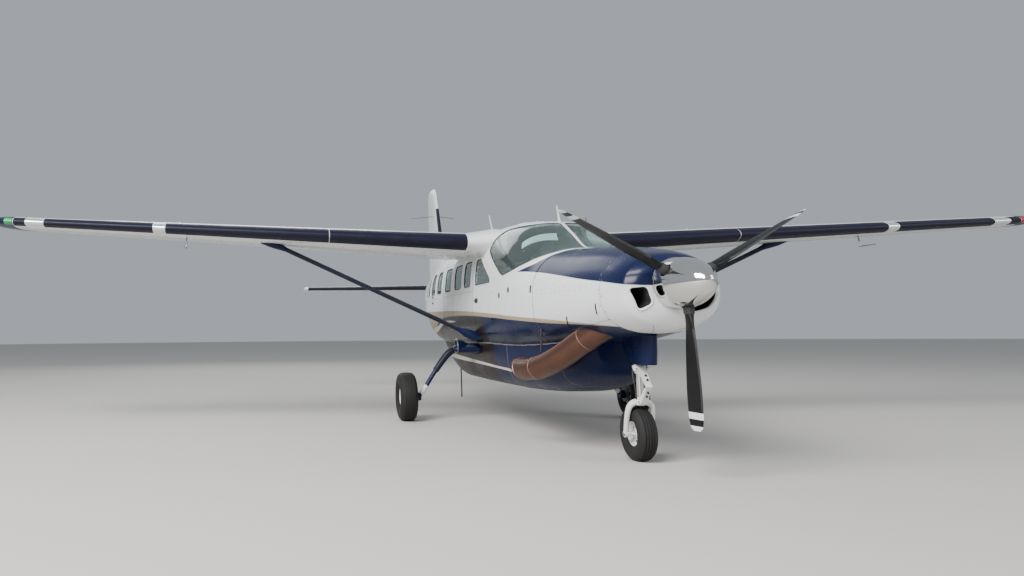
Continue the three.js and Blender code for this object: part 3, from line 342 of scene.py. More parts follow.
def material(name, *tones, rough=(0.3, 0.45), metal=0.0, coat=0.0, patch=3.0, grain=(180.0, 0.02), spec=0.5):
    """A finish of two tones that drift over the surface in soft patches, with its own range of roughness
    and a fine grain in the relief."""
    made = bpy.data.materials.new(name)
    made.use_nodes = True
    tree = made.node_tree
    shader = tree.nodes["Principled BSDF"]
    place = tree.nodes.new("ShaderNodeTexCoord").outputs["Object"]
    drift = tree.nodes.new("ShaderNodeTexNoise")
    set_inputs(drift, Scale=patch, Detail=6, Roughness=0.62)
    mix = tree.nodes.new("ShaderNodeMix")
    mix.data_type = "RGBA"
    set_inputs(mix, A=(*tones[0], 1), B=(*tones[1], 1))
    dull = tree.nodes.new("ShaderNodeMapRange")
    set_inputs(dull, From_Min=0.3, From_Max=0.7, To_Min=rough[0], To_Max=rough[1])
    set_inputs(shader, Metallic=metal, Coat_Weight=coat, Coat_Roughness=0.08, Specular_IOR_Level=spec)
    links = [(place, drift.inputs["Vector"]), (drift.outputs["Fac"], mix.inputs["Factor"]),
             (mix.outputs["Result"], shader.inputs["Base Color"]), (drift.outputs["Fac"], dull.inputs["Value"]),
             (dull.outputs["Result"], shader.inputs["Roughness"])]
    if grain[1] > 0:
        fine = tree.nodes.new("ShaderNodeTexNoise")
        set_inputs(fine, Scale=grain[0])
        relief = tree.nodes.new("ShaderNodeBump")
        set_inputs(relief, Strength=grain[1], Distance=0.002)
        links += [(place, fine.inputs["Vector"]), (fine.outputs["Fac"], relief.inputs["Height"]),
                  (relief.outputs["Normal"], shader.inputs["Normal"])]
    for outlet, inlet in links:
        tree.links.new(outlet, inlet)
    return made


def cover(finish, share, tone):
    """Lays a tone over a finish by a share that another node gives."""
    tree = finish.node_tree
    colour = tree.nodes["Principled BSDF"].inputs["Base Color"]
    under = colour.links[0].from_socket
    mix = tree.nodes.new("ShaderNodeMix")
    mix.data_type = "RGBA"
    set_inputs(mix, B=(*tone, 1))
    for outlet, inlet in ((share, mix.inputs["Factor"]), (under, mix.inputs["A"]), (mix.outputs["Result"], colour)):
        tree.links.new(outlet, inlet)


curve_height = 5  # height that a curve's full scale stands for


def lay_over(finish, tone, curves, soft=0.004):
    """Lays a tone over a finish where every curve holds. A curve is (sign, points): its points are stations
    and heights of a line in the side view, and the tone lies above it for +1 and below it for -1."""
    tree = finish.node_tree
    place = tree.nodes.new("ShaderNodeTexCoord")
    axes = tree.nodes.new("ShaderNodeSeparateXYZ")
    tree.links.new(place.outputs["Object"], axes.inputs["Vector"])
    run = tree.nodes.new("ShaderNodeMapRange")
    set_inputs(run, From_Min=aft(0), From_Max=aft(length))
    tree.links.new(axes.outputs["Y"], run.inputs["Value"])
    held = None
    for sign, points in curves:
        curve = tree.nodes.new("ShaderNodeFloatCurve")
        line = curve.mapping.curves[0]
        spots = [(station / length, height / curve_height) for station, height in points]
        line.points[0].location, line.points[1].location = spots[0], spots[-1]
        for spot in spots[1:-1]:
            line.points.new(*spot)
        for point in line.points:
            point.handle_type = "AUTO_CLAMPED"
        curve.mapping.update()
        tree.links.new(run.outputs["Result"], curve.inputs["Value"])
        above = tree.nodes.new("ShaderNodeMath")
        above.operation = "MULTIPLY_ADD"
        above.inputs[1].default_value = -curve_height
        tree.links.new(curve.outputs["Value"], above.inputs[0])
        tree.links.new(axes.outputs["Z"], above.inputs[2])
        edge = tree.nodes.new("ShaderNodeMapRange")
        set_inputs(edge, From_Min=-soft * sign, From_Max=soft * sign)
        tree.links.new(above.outputs["Value"], edge.inputs["Value"])
        if held is None:
            held = edge.outputs["Result"]
        else:
            both = tree.nodes.new("ShaderNodeMath")
            both.operation = "MULTIPLY"
            tree.links.new(held, both.inputs[0])
            tree.links.new(edge.outputs["Result"], both.inputs[1])
            held = both.outputs["Value"]
    cover(finish, held, tone)


white_tones = (0.8, 0.81, 0.81), (0.7, 0.71, 0.71)
navy_tones = (0.005, 0.009, 0.04), (0.008, 0.013, 0.05)
navy, gold, cream, slate = (0.005, 0.009, 0.042), (0.36, 0.28, 0.19), (0.62, 0.58, 0.5), (0.015, 0.01, 0.009)
hull_paint = material("hull_paint", *white_tones, rough=(0.2, 0.32), coat=0.05, patch=1.6, grain=(900, 0.0), spec=0.12)
gold_top = [(0, 1.3), (1.34, 1.417), (2.24, 1.483), (3.1, 1.532), (4.51, 1.615), (6.46, 1.693), (8.84, 1.735),
            (10.4, 1.8), (12.68, 2.05)]
gold_foot = [(0, 1.3), (1.34, 1.405), (2.24, 1.44), (3.11, 1.486), (4.52, 1.556), (6.47, 1.6), (7.2, 1.585),
             (7.9, 1.45), (8.5, 1.2), (9.3, 1.0), (12.68, 1.0)]
lay_over(hull_paint, gold, [(-1, gold_top)])
lay_over(hull_paint, navy, [(-1, gold_foot)])
lay_over(hull_paint, slate, [(-1, gold_foot), (1, [(0, 3), (4.2, 3), (4.75, 1.0), (length, 1.0)])], soft=0.02)
lay_over(hull_paint, cream, [(-1, [(0, 1), (5.9, 1.0), (6.3, 1.515), (7.1, 1.535), (7.9, 1.44), (length, 1.1)]),
                             (1, [(0, 3), (5.9, 2.0), (6.3, 1.51), (7.1, 1.495), (7.9, 1.36), (length, 1.0)])])
# the upper cowl's navy runs back to a point below the windscreen's corner
navy_foot = [(0, 1.7), (0.6, 1.775), (0.94, 1.827), (1.33, 1.877), (1.94, 1.965), (2.48, 2.036), (3.1, 2.09),
             (12.68, 2.3)]
navy_back = [(0, 3.4), (2.2, 2.75), (2.45, 2.4), (2.7, 2.195), (2.98, 2.115), (3.12, 2.088), (4.0, 1.9),
             (12.68, 1.9)]
lay_over(hull_paint, navy, [(1, navy_foot), (-1, navy_back)])

screen_foot, screen_step = 2.13, 3.6
wall_outline = [(cabin_start, floor_top), (cabin_end, floor_top), (cabin_end, roof_split), (screen_step, roof_split),
                (screen_step, screen_foot), (cabin_start, screen_foot)]
roof_outline = [(cabin_start, screen_foot), (screen_step, screen_foot), (screen_step, roof_split),
                (cabin_end, roof_split), (cabin_end, 3.4), (cabin_start, 3.4)]
screen_line = rounded(windscreen, 0.09)
crew_cut = rounded(crew_door, 0.05)
crew_pane = rounded(crew_window, 0.06)
panes = [rectangle(start, end, sill, lintel, pane_corner) for start, end in windows]
for side, turned_to in (("left", tuple), ("right", mirrored)):
    cuts = [screen_line, crew_cut, rectangle(*rear_doors[side], rear_low, rear_high, 0.06)]
    cuts += [pane for i, pane in enumerate(panes) if i not in door_windows[side]]
    flank = hull_panel(cabin_start, cabin_end, -52, 62, wall_outline, cuts)
    piece(f"flank_{side}", [turned_to(flank)], hull_paint, "airframe", [f"side_panel_{side}"])
half_roof = hull_panel(cabin_start, cabin_end, 28, 90, roof_outline, [screen_line])
piece("roof", both_sides(half_roof), hull_paint, "airframe", ["roof_panel"])
half_belly = hull_panel(cabin_start, cabin_end, -90, -20, rectangle(cabin_start, cabin_end, 0.9, floor_top), cell=0.04)
piece("belly", both_sides(half_belly), hull_paint, "airframe", ["belly_panel"])

# Doors of the cabin
# The crew's doors hinge at their forward edge. The left rear door is large and in two halves, the right one
# is narrow and carries the steps on its lower half. Pressed aluminium skins in the colours of the hull.
def ring_on_hull(outline, inner, outer, low, high, unrolled=0.0):
    """A flat band along a closed side-view outline: from an inner to an outer offset, between two lifts. Where a
    radius is given, the outline is one of stations and lengths round the hull on that radius."""
    corners = []
    for gap, lift in ((outer, low), (outer, high), (inner, high), (inner, low)):
        line = grown(outline, gap)
        line = line / (1, unrolled) if unrolled else on_hull(line)
        corners.append(hull_point(*line.T, lift))
    return ring_tube(np.stack(corners, 1), True)


def ring_tube(rings, closed):
    """Faces over a row of rings, each a closed loop of points. An open row gets a flat cap at each end."""
    rows, count = rings.shape[:2]
    index = np.arange(rows * count).reshape(rows, count)
    ahead, around = np.roll(index, -1, 0), np.roll(index, -1, 1)
    last = rows if closed else rows - 1
    quads = np.stack([index, ahead, np.roll(ahead, -1, 1), around], -1)[:last].reshape(-1, 4)
    faces = [quads] if closed else [quads, index[:1], index[-1:, ::-1]]
    return outward(rings.reshape(-1, 3), faces)


def outward(points, faces):
    """The same closed form with its faces turned outwards, judged by its signed volume."""
    volume = 0.0
    for face in faces:
        for k in range(1, face.shape[1] - 1):
            a, b, c = points[face[:, 0]], points[face[:, k]], points[face[:, k + 1]]
            volume += (a * np.cross(b, c)).sum()
    return points, faces if volume > 0 else [face[:, ::-1] for face in faces]


def bar(start, end, radius, sides=16, end_radius=None):
    """A round bar between two points."""
    start, end = np.asarray(start, float), np.asarray(end, float)
    along = unit(end - start)
    side = unit(np.cross(along, (0, 0, 1) if abs(along[2]) < 0.9 else (1, 0, 0)))
    turn = circle(sides)[:, None]
    ring = np.cos(turn) * side + np.sin(turn) * np.cross(along, side)
    far = radius if end_radius is None else end_radius
    return ring_tube(np.stack([start + ring * radius, end + ring * far]), False)


def block(low, high, edge=0.0):
    """A box from its two corners, with cut edges along Z where asked."""
    (x0, y0, z0), (x1, y1, z1) = low, high
    if edge:
        plan = [(x0 + edge, y0), (x1 - edge, y0), (x1, y0 + edge), (x1, y1 - edge), (x1 - edge, y1),
                (x0 + edge, y1), (x0, y1 - edge), (x0, y0 + edge)]
    else:
        plan = [(x0, y0), (x1, y0), (x1, y1), (x0, y1)]
    return ring_tube(np.array([[(x, y, z) for x, y in plan] for z in (z0, z1)]), False)


steel = material("steel", (0.42, 0.42, 0.43), (0.3, 0.3, 0.31), rough=(0.28, 0.45), metal=1.0, patch=40)
handle_black = material("handle_black", (0.02, 0.02, 0.022), (0.035, 0.035, 0.036), rough=(0.4, 0.6), patch=30)
seal_rubber = material("seal_rubber", (0.015, 0.015, 0.016), (0.03, 0.03, 0.03), rough=(0.6, 0.8), patch=12)

hinge_x, hinge_station, barrel_tall = 0.851, 4.016, 0.034
door = hull_panel(4.0, 5.0, -42, 48, grown(crew_cut, -door_gap), [crew_pane])
barrels = [bar((hinge_x, aft(hinge_station), z), (hinge_x, aft(hinge_station), z + barrel_tall), 0.009)
           for z in (1.5002, 1.9002)]
grip_section = ((0, -0.012), (0.022, -0.008), (0.022, 0.008), (0, 0.012))
grip = ring_tube(np.array([[(0.838 + rise, aft(s), 1.8 + z) for rise, z in grip_section]
                           for s in (4.83, 4.85, 4.93, 4.95)]), False)
plate = hull_panel(4.78, 4.975, -5, 12, rectangle(4.8, 4.965, 1.765, 1.835, 0.02), wall=0.004, lift=0.0035)
side_pieces(("crew_door_skin_{}", [door, *barrels], hull_paint, "white", "crew_door_{}", "crew_door_{}"),
            ("crew_door_handle_{}", [grip, plate], handle_black, "black", "crew_door_{}"))
for side, stem, turned_to in (("left", "cargo_door", tuple), ("right", "airstair_door", mirrored)):
    start, end = rear_doors[side]
    for half, slot, low, high in (("upper", "white", rear_mid + 0.004, rear_high - door_gap),
                                  ("lower", "navy", rear_low + door_gap, rear_mid - 0.004)):
        holes = [panes[i] for i in door_windows[side]] if half == "upper" else []
        latch = (low + 0.02, low + 0.055) if half == "upper" else (high - 0.08, high - 0.045)
        body = f"{stem}_{half}"
        outline = rectangle(start + door_gap, end - door_gap, low, high, 0.03)
        skin = hull_panel(start, end, -42, 62, outline, holes)
        piece(f"{body}_skin", [turned_to(skin)], hull_paint, body, [body])
        grip = hull_panel(start + 0.3, start + 0.5, -20, 20, rectangle(start + 0.33, start + 0.47, *latch, 0.012),
                          wall=0.008, lift=0.007, cell=0.012)
        piece(f"{body}_handle", [turned_to(grip)], handle_black, body)
# the steps inside the lower airstair door
treads = [block((-0.79, aft(7.98), rise), (-0.6, aft(8.4), rise + 0.016)) for rise in (1.42, 1.6, 1.78)]
piece("airstair_treads", treads, steel, "airstair_door_lower")

# Glass of the cabin
# Stretched acrylic with a green tint, let into the skin on a black seal behind a painted retainer frame.
# The windscreen is in two halves with a painted post between them.
glass = material("tinted_glass", (0.68, 0.83, 0.8), (0.62, 0.78, 0.75), rough=(0.02, 0.05), patch=2.0, grain=(60, 0.0))
set_inputs(glass.node_tree.nodes["Principled BSDF"], Transmission_Weight=0.96, IOR=1.28)
frame_paint = material("frame_paint", *white_tones, rough=(0.22, 0.34), coat=0.4, patch=9)
screen_radius, least_step = 0.95, 0.004
screen_edge = on_hull(screen_line, post_turn) * (1, screen_radius)
screen_edge = screen_edge[np.linalg.norm(screen_edge - np.roll(screen_edge, 1, 0), axis=1) > least_step]
for _ in range(2):
    screen_edge = (np.roll(screen_edge, 1, 0) + 2 * screen_edge + np.roll(screen_edge, -1, 0)) / 4
screen_seal = ring_on_hull(screen_edge, -0.012, 0.0, -0.006, 0.001, screen_radius)
screen_trim = ring_on_hull(screen_edge, 0.001, 0.024, -0.001, 0.004, screen_radius)
screen_pane = hull_panel(2.62, 4.4, 8, 88.6, grown(screen_line, -0.001), wall=0.008, lift=-0.006)
side_pieces(("windscreen_pane_{}", [screen_pane], glass, "glass", "airframe", "windscreen_{}"),
            ("windscreen_seal_{}", [screen_seal], seal_rubber, "rubber", "airframe"),
            ("windscreen_frame_{}", [screen_trim], frame_paint, "white", "airframe"))
for side, rear, turned_to in (("left", "cargo_door", tuple), ("right", "airstair_door", mirrored)):
    openings = [(f"crew_{side}", f"crew_door_{side}", crew_pane)]
    openings += [(f"{side}_{i + 1}", f"{rear}_upper" if i in door_windows[side] else "airframe", pane)
                 for i, pane in enumerate(panes)]
    for name, body, outline in openings:
        pane = hull_panel(outline[:, 0].min(), outline[:, 0].max(), 10, 50, grown(outline, -0.0005), wall=0.006,
                          lift=-0.008)
        for stem, form, finish, slot in (
                ("glass", pane, glass, "glass"),
                ("seal", ring_on_hull(outline, -0.012, 0.0, -0.007, 0.001), seal_rubber, "rubber"),
                ("frame", ring_on_hull(outline, 0.001, 0.022, -0.001, 0.0035), frame_paint, "white")):
            piece(f"window_{stem}_{name}", [turned_to(form)], finish, body)

# Nose
# Two cowl halves of sheet aluminium behind a moulded bowl with an air inlet on each side of the spinner.
# The copper-brown exhaust stack leaves the lower cowl on the right and runs down and aft.
bowl_back, firewall, cowl_wall, cowl_split = 1.02, 2.54, 0.014, 1.8
hub_height, joint = 1.79, 0.0003
exhaust_path = np.array([(-0.24, 1.42, 1.46), (-0.34, 1.56, 1.375), (-0.47, 1.78, 1.24), (-0.62, 2.1, 1.055),
                         (-0.735, 2.45, 0.935), (-0.795, 2.76, 0.905), (-0.82, 2.93, 0.9)])
left_inlet = [(0.33, 1.985), (0.405, 1.9), (0.438, 1.79), (0.415, 1.66), (0.33, 1.56), (0.19, 1.52),
              (0.11, 1.53), (0.15, 1.57), (0.25, 1.61), (0.305, 1.69), (0.318, 1.79), (0.29, 1.9)]
right_inlet = [(-0.445, 1.755), (-0.285, 1.77), (-0.235, 1.6), (-0.355, 1.535)]
bowl_centre, nose_share, nose_back, nose_tip, nose_hole = 1.737, 0.5, 0.7, 0.592, 0.2


def bowl_point(turn, share, lift=0.0):
    """Point of the bowl: a quadratic curve from its open middle out over the front and back to the hull's
    form, (1-t)^2 hole + 2t(1-t) rim + t^2 shoulder, and then the hull's form back to the cowl."""
    share = np.asarray(share, float)
    over = np.clip((share - nose_share) / (1 - nose_share), 0, 1)
    hull_part = hull_point(nose_back + (bowl_back - joint - nose_back) * over, turn, lift)
    t = np.clip(share / nose_share, 0, 1)[..., None]
    front_y = np.full_like(over, aft(nose_tip) - lift)
    hole = np.stack([nose_hole * np.cos(turn), front_y, hub_height + nose_hole * np.sin(turn)], -1)
    rim = hull_point(np.full_like(over, 0.612), turn, lift)
    rim[..., 1] = front_y + 0.004
    shoulder = hull_point(np.full_like(over, nose_back), turn, lift)
    front = (1 - t) ** 2 * hole + 2 * t * (1 - t) * rim + t ** 2 * shoulder
    return np.where(t < 1, front, hull_part)


def bowl_share(line):
    """Angle and share along the bowl of front-view points, by a search along the surface at their angle."""
    line = np.asarray(line, float) - (0, bowl_centre)
    shares = np.linspace(0, 1, 240)
    wanted = np.arctan2(line[:, 1], line[:, 0])
    turn = wanted
    for _ in range(4):
        spots = bowl_point(turn[:, None] + 0 * shares, 0 * turn[:, None] + shares) - (0, 0, bowl_centre)
        miss = abs(np.hypot(spots[..., 0], spots[..., 2]) - np.hypot(*line.T)[:, None])
        best = miss.argmin(1)
        spot = spots[np.arange(len(line)), best]
        turn = turn + wanted - np.arctan2(spot[:, 2], spot[:, 0])
    return np.stack([turn, shares[best]], 1)


bowl_paint = material("bowl_paint", *white_tones, rough=(0.2, 0.32), coat=0.12, patch=2.2, grain=(700, 0.0), spec=0.25)
lay_over(bowl_paint, navy, [(1, navy_foot)])
# near black: painted shade, inside the air inlets and in the holes of the wheels
painted_shade_black = material("painted_shade_black", (0.014, 0.014, 0.015), (0.034, 0.033, 0.033), rough=(0.6, 0.9), patch=14)
bowl_forms, lip_forms, duct_forms = [], [], []
for inlet, middle, first in ((left_inlet, 0, -2.0), (right_inlet, np.pi, 1.1)):
    cut = bowl_share(rounded(inlet, 0.045))
    cut[:, 0] = np.where(cut[:, 0] < first, cut[:, 0] + 2 * np.pi, cut[:, 0])
    turns = np.linspace(-np.pi / 2, np.pi / 2, 97) + middle
    spots, quads = cut_grid(turns, np.linspace(0, 1, 52), np.array(rectangle(turns[0], turns[-1], 0, 1), float), [cut])
    bowl_forms.append(outward(*walled(bowl_point(*spots.T), bowl_point(*spots.T, -0.01) + (0, 0.004, 0), quads)))
    # lip: a round bead along the edge; duct: the edge carried aft to a closed end, near black as painted shade deep in
    # the inlet
    edge = bowl_point(*cut.T)
    centre = edge.mean(0)
    away = unit((edge - centre) * (1, 0, 1))
    lip_forms.append(ring_tube(np.stack([
        edge + away * (0.004 + 0.011 * math.cos(a)) + np.array([0, -0.011 * math.sin(a) - 0.002, 0])
        for a in circle(10)], 1), True))

    def duct_end(station):
        return np.column_stack([edge[:, 0], np.full(len(edge), aft(station)), edge[:, 2]])
    duct_forms += [ring_tube(np.stack([edge + (0, 0.002, 0), duct_end(0.955),
                                       duct_end(0.955) * (0.98, 1, 1) + (0.02 * centre[0], 0, 0),
                                       edge - away * 0.004 + (0, 0.004, 0)], 1), True),
                   ring_tube(np.stack([duct_end(0.95), duct_end(0.957)]), False)]
piece("bowl", bowl_forms, bowl_paint, "airframe", ["nose_bowl"])
piece("bowl_lips", lip_forms, bowl_paint, "airframe")
piece("bowl_ducts", duct_forms, painted_shade_black, "airframe")

for name, node, slot, ends, heights in (("cowl_top", "upper_cowl", "navy", (2, 90), (cowl_split, 3.0)),
                                        ("cowl_bottom", "lower_cowl", "white", (-90, 10), (0.9, cowl_split - joint))):
    half_cowl = hull_panel(bowl_back, firewall, *ends, rectangle(bowl_back, firewall, *heights), wall=cowl_wall,
                           cell=0.03)
    piece(name, both_sides(half_cowl), hull_paint, "airframe", [node])


def smooth_path(points, count):
    """Evenly parted points of a curve through given points, by the Catmull-Rom formula."""
    points = np.asarray(points, float)
    padded = np.vstack([2 * points[0] - points[1], points, 2 * points[-1] - points[-2]])
    spots = np.linspace(0, len(points) - 1, count)
    k = np.minimum(spots.astype(int), len(points) - 2)
    t = (spots - k)[:, None]
    p0, p1, p2, p3 = (padded[k + i] for i in range(4))
    return 0.5 * (2 * p1 + (p2 - p0) * t + (2 * p0 - 5 * p1 + 4 * p2 - p3) * t ** 2
                  + (3 * p1 - p0 - 3 * p2 + p3) * t ** 3)


def swept(path, across, down, sides=24, up=(0, 0, 1)):
    """Rings of an oval section along a path: across is measured level, down upright, as numbers or rows."""
    along = unit(np.gradient(path, axis=0))
    side = unit(np.cross(along, up))
    over = np.cross(side, along)
    turn = circle(sides)[None, :, None]
    across, down = (np.broadcast_to(v, len(path))[:, None, None] for v in (across, down))
    return path[:, None] + side[:, None] * np.cos(turn) * across + over[:, None] * np.sin(turn) * down


def cord(path, radius, sides=24, up=(0, 0, 1)):
    """A round cord along a path."""
    return ring_tube(swept(path, radius, radius, sides, up), False)


stack_rows = 60
stack_line = smooth_path(exhaust_path - (0, half_length, 0), stack_rows)
copper = material("burnt_copper", (0.17, 0.085, 0.06), (0.1, 0.052, 0.04), rough=(0.32, 0.5), metal=0.85, patch=5,
                  grain=(300, 0.03))
weld_tan = material("weld_tan", (0.34, 0.2, 0.15), (0.24, 0.13, 0.1), rough=(0.3, 0.5), metal=0.7, patch=16)
# dark finish: real soot inside the stack's mouth, and painted shade in the gap round the stack at the cowl
soot_and_shade = material("soot_and_shade", (0.012, 0.01, 0.009), (0.03, 0.022, 0.018), rough=(0.8, 0.95), patch=9)


def stack_rings(inset, sides=40):
    """Rings of the stack, whose mouth is cut at a slant: its lower edge ends ahead of its upper edge."""
    rings = swept(stack_line, 0.15 - inset, 0.13 - inset, sides)
    slant = np.clip((np.arange(stack_rows) - 40) / 19, 0, 1)[:, None]
    back = 0.125 * (0.5 - 0.5 * np.sin(circle(sides))) * slant
    return rings - unit(np.gradient(stack_line, axis=0))[:, None] * back[..., None]


outer_rings, inner_rings = stack_rings(0.0), stack_rings(0.005)
beads = []
for turn in (0.62, 0.8, 2.25, 2.43):
    beads.append(cord(stack_rings(-0.001, 720)[8:, int(turn / (2 * np.pi) * 720)], 0.0035, 6))
for row in (18, 40, 55):
    ring = outer_rings[row]
    along, away = unit(stack_line[row + 1] - stack_line[row - 1]), unit(ring - ring.mean(0))
    beads.append(ring_tube(np.stack([ring + away * (0.001 + 0.005 * math.cos(a)) + along * 0.007 * math.sin(a)
                                     for a in circle(8)], 1), True))
piece("exhaust_skin", [ring_tube(np.concatenate([outer_rings, inner_rings[::-1][:36]]), False)], copper,
      "airframe", ["exhaust_stack"])
piece("exhaust_beads", beads, weld_tan, "airframe")


def outside_hull(points):
    """Above zero outside the hull's form, below zero inside it: the superellipse's sum less one."""
    low, wide, high, half, low_power, high_power = hull_sizes(points[..., 1] + half_length)
    above = points[..., 2] >= wide
    power = np.where(above, high_power, low_power)
    reach = np.where(above, high - wide, wide - low)
    return (abs(points[..., 0]) / half) ** power + (abs(points[..., 2] - wide) / reach) ** power - 1


# a dark ring round the stack where it passes through the cowl: painted shade in the gap there
out = outside_hull(outer_rings)
row, column = (out > 0).argmax(0), np.arange(outer_rings.shape[1])
share = (-out[row - 1, column] / (out[row, column] - out[row - 1, column]))[:, None]
gap_line = outer_rings[row - 1, column] + share * (outer_rings[row, column] - outer_rings[row - 1, column])
away, through = unit(gap_line - gap_line.mean(0)), np.array([-0.5, 0, -0.86])
gap_ring = [gap_line + away * (0.004 + 0.012 * math.cos(a)) + through * 0.006 * math.sin(a) for a in circle(10)]
piece("exhaust_gap", [ring_tube(np.stack(gap_ring, 1), True)], soot_and_shade, "airframe")
lining = np.concatenate([stack_rings(0.0055)[26:59], stack_rings(0.008)[26:59][::-1]])
piece("exhaust_soot", [ring_tube(lining, True)], soot_and_shade, "airframe")

# Wings
# Riveted aluminium wings, straight tapered, with long flaps, ailerons, rubber de-icing boots on the leading
# edge between two clear lamp covers, and a dark cap at the tip. One streamlined strut carries each wing.
skin_share = (1 - np.cos(np.linspace(0, np.pi, 49))) / 2


def aerofoil(chord, depth, camber, share):
    """Middle height and half thickness of an aerofoil at shares of its chord, with a 2 mm trailing edge."""
    root = (0.2969 * np.sqrt(share) - 0.126 * share - 0.3516 * share ** 2 + 0.2843 * share ** 3
            - 0.1036 * share ** 4)
    return 4 * camber * share * (1 - share) * chord, 5 * depth * root * chord + 0.002 * share


def wing_frame(x, keep=1.0):
    """Leading station, height, chord, depth and incidence of the wing at a distance from the centreline."""
    share = (x - 0.85) / 6.95
    swell = min(max((1.0 - x) / 0.4, 0.0), 1.0)  # the root fairing
    full = 1.98 - 0.76 * share + 0.07 * swell ** 1.5
    chord = full * keep
    lead = 4.4 + 0.35 * share - 0.07 * swell ** 1.5 + (full - chord) * 0.45
    depth = (0.17 - 0.04 * share) * (keep ** 0.6) + 0.035 * swell
    return lead, 2.62 + 0.365 * share + 0.03 * swell, chord, depth, 0.045 - 0.053 * share


def wing_point(x, share, over, lift=0.0, keep=1.0):
    """Point of the wing's upper (over +1) or lower (-1) skin at a share of the chord."""
    lead, height, chord, depth, incidence = wing_frame(x, keep)
    middle, half = aerofoil(chord, depth, 0.018, share)
    run = share * chord
    return np.stack([x + 0 * run, aft(lead + run), height + middle + over * (half + lift) - run * incidence], -1)


def section_loop(point, shares=skin_share):
    """A closed ring round a whole section: the upper skin from the tail to the nose, then the lower."""
    return np.concatenate([point(shares[::-1], 1), point(shares[1:], -1)])


def parted_loops(point, hinge_share, gap=0.008, arc=17):
    """Rings of the fixed and of the moving part of a section: the fixed part ends in a hollow arc round the
    hinge, the moving part starts with a round nose."""
    up, down = point(np.array([hinge_share]), 1)[0], point(np.array([hinge_share]), -1)[0]
    hinge = (up + down) / 2
    radius = np.linalg.norm(up - down) / 2 + 0.001
    fine = np.linspace(0.2, 1, 1601)

    def crossing(over, reach):
        """Share at which a skin crosses a circle round the hinge, ahead of the hinge."""
        away = np.linalg.norm(point(fine, over) - hinge, axis=1)
        return fine[np.where(fine <= hinge_share, abs(away - reach), 9).argmin()]
    spread = np.sin(np.linspace(0, np.pi / 2, 41)) ** 2
    # fixed: upper skin from the cove forward, lower skin back, then the hollow arc
    upper = point(spread[::-1] * crossing(1, radius + gap), 1)
    lower = point(spread * crossing(-1, radius + gap), -1)
    fixed = np.concatenate([upper, lower[1:], hinge_arc(hinge, lower[-1], upper[0], arc)[1:-1]])
    top, foot = crossing(1, radius), crossing(-1, radius)
    upper, lower = point(top + (1 - top) * spread[::-1], 1), point(foot + (1 - foot) * spread, -1)
    return fixed, np.concatenate([upper, hinge_arc(hinge, upper[-1], lower[0], arc)[1:-1], lower])


def hinge_arc(hinge, start, end, count):
    """Points of an arc ahead of a hinge from one point to another, in the section's plane."""
    across = unit(start - end)
    forward = np.array([0.0, -1.0, 0.0])
    forward = unit(forward - across * (forward @ across))
    first, last = start - hinge, end - hinge
    a, b = (math.atan2(spot @ forward, spot @ across) for spot in (first, last))
    radius = (np.linalg.norm(first) + np.linalg.norm(last)) / 2
    turn = np.linspace(a, b, count)[:, None]
    return hinge + radius * (np.cos(turn) * across + np.sin(turn) * forward)


def spanwise(loop, stops):
    """A closed form through the rings that a function gives at each distance along the span."""
    return ring_tube(np.stack([loop(x) for x in stops]), False)


def plain_form(point, stops):
    """A form whose sections are whole."""
    return spanwise(lambda along: section_loop(lambda share, over: point(along, share, over)), stops)


def parted_form(point, part, hinge_share, stops):
    """The fixed (part 0) or the moving (part 1) form of a surface that is parted at a share of its chord."""
    return spanwise(lambda along: parted_loops(lambda share, over: point(along, share, over),
                                               hinge_share(along))[part], stops)


def edge_band(point, reach, thick, stops, count=17):
    """A band over a leading edge: back to a share of the chord above and below, standing a little proud."""
    share = np.linspace(0, 1, count) ** 2 * reach
    fade = np.clip((reach - share) / (0.12 * reach), 0.15, 1)

    def ring(x):
        outer = np.concatenate([point(x, share[::-1], 1, thick * fade[::-1]),
                                point(x, share[1:], -1, thick * fade[1:])])
        inner = np.concatenate([point(x, share[::-1], 1, -0.002), point(x, share[1:], -1, -0.002)])
        nose = np.clip(1 - share / reach, 0, 1) ** 2
        both = np.concatenate([nose[::-1], nose[1:]])
        outer[:, 1] -= thick * both
        return np.concatenate([outer, inner[::-1]])
    return ring_tube(np.stack([ring(x) for x in stops]), False)


def skin_strip(line, wide, over):
    """A thin dark line on the wing's skin: a flat strip along a path, sunk 2 mm into it."""
    wide, deep = np.array(wide), np.array((0, 0, -0.002 * over))
    return ring_tube(np.stack([line - wide, line + wide, line + wide + deep, line - wide + deep], 1), False)


wing_paint = material("wing_paint", *white_tones, rough=(0.2, 0.32), coat=0.25, patch=1.3, grain=(900, 0.0))
boot_rubber = material("boot_rubber", (0.006, 0.006, 0.018), (0.011, 0.011, 0.025), rough=(0.34, 0.5), patch=6,
                       grain=(240, 0.02), spec=0.2)
strut_paint = material("strut_paint", (0.01, 0.012, 0.022), (0.02, 0.022, 0.034), rough=(0.3, 0.45), patch=8,
                       spec=0.15)
navy_paint = material("navy_paint", *navy_tones, rough=(0.24, 0.36), spec=0.15, coat=0.05, patch=5)
seam_dark = material("seam_dark", (0.16, 0.16, 0.16), (0.22, 0.22, 0.22), rough=(0.5, 0.7), patch=11)
lamp_glass = material("lamp_cover", (0.85, 0.87, 0.88), (0.72, 0.75, 0.77), rough=(0.08, 0.16), metal=0.8, patch=16)
tip_rows = [(7.58, 1), (7.64, 1), (7.7, 0.992), (7.78, 0.97), (7.83, 0.925), (7.87, 0.86), (7.9, 0.77),
            (7.92, 0.66), (7.932, 0.5), (7.935, 0.4)]
side_gap, boot_reach, boot_thick = 0.008, 0.085, 0.0025
wing_forms = [plain_form(wing_point, stops)
              for stops in (np.linspace(0.5, 1.04, 14), (5.2, 5.24), (7.42, 7.5, 7.58))]
moving_forms = []
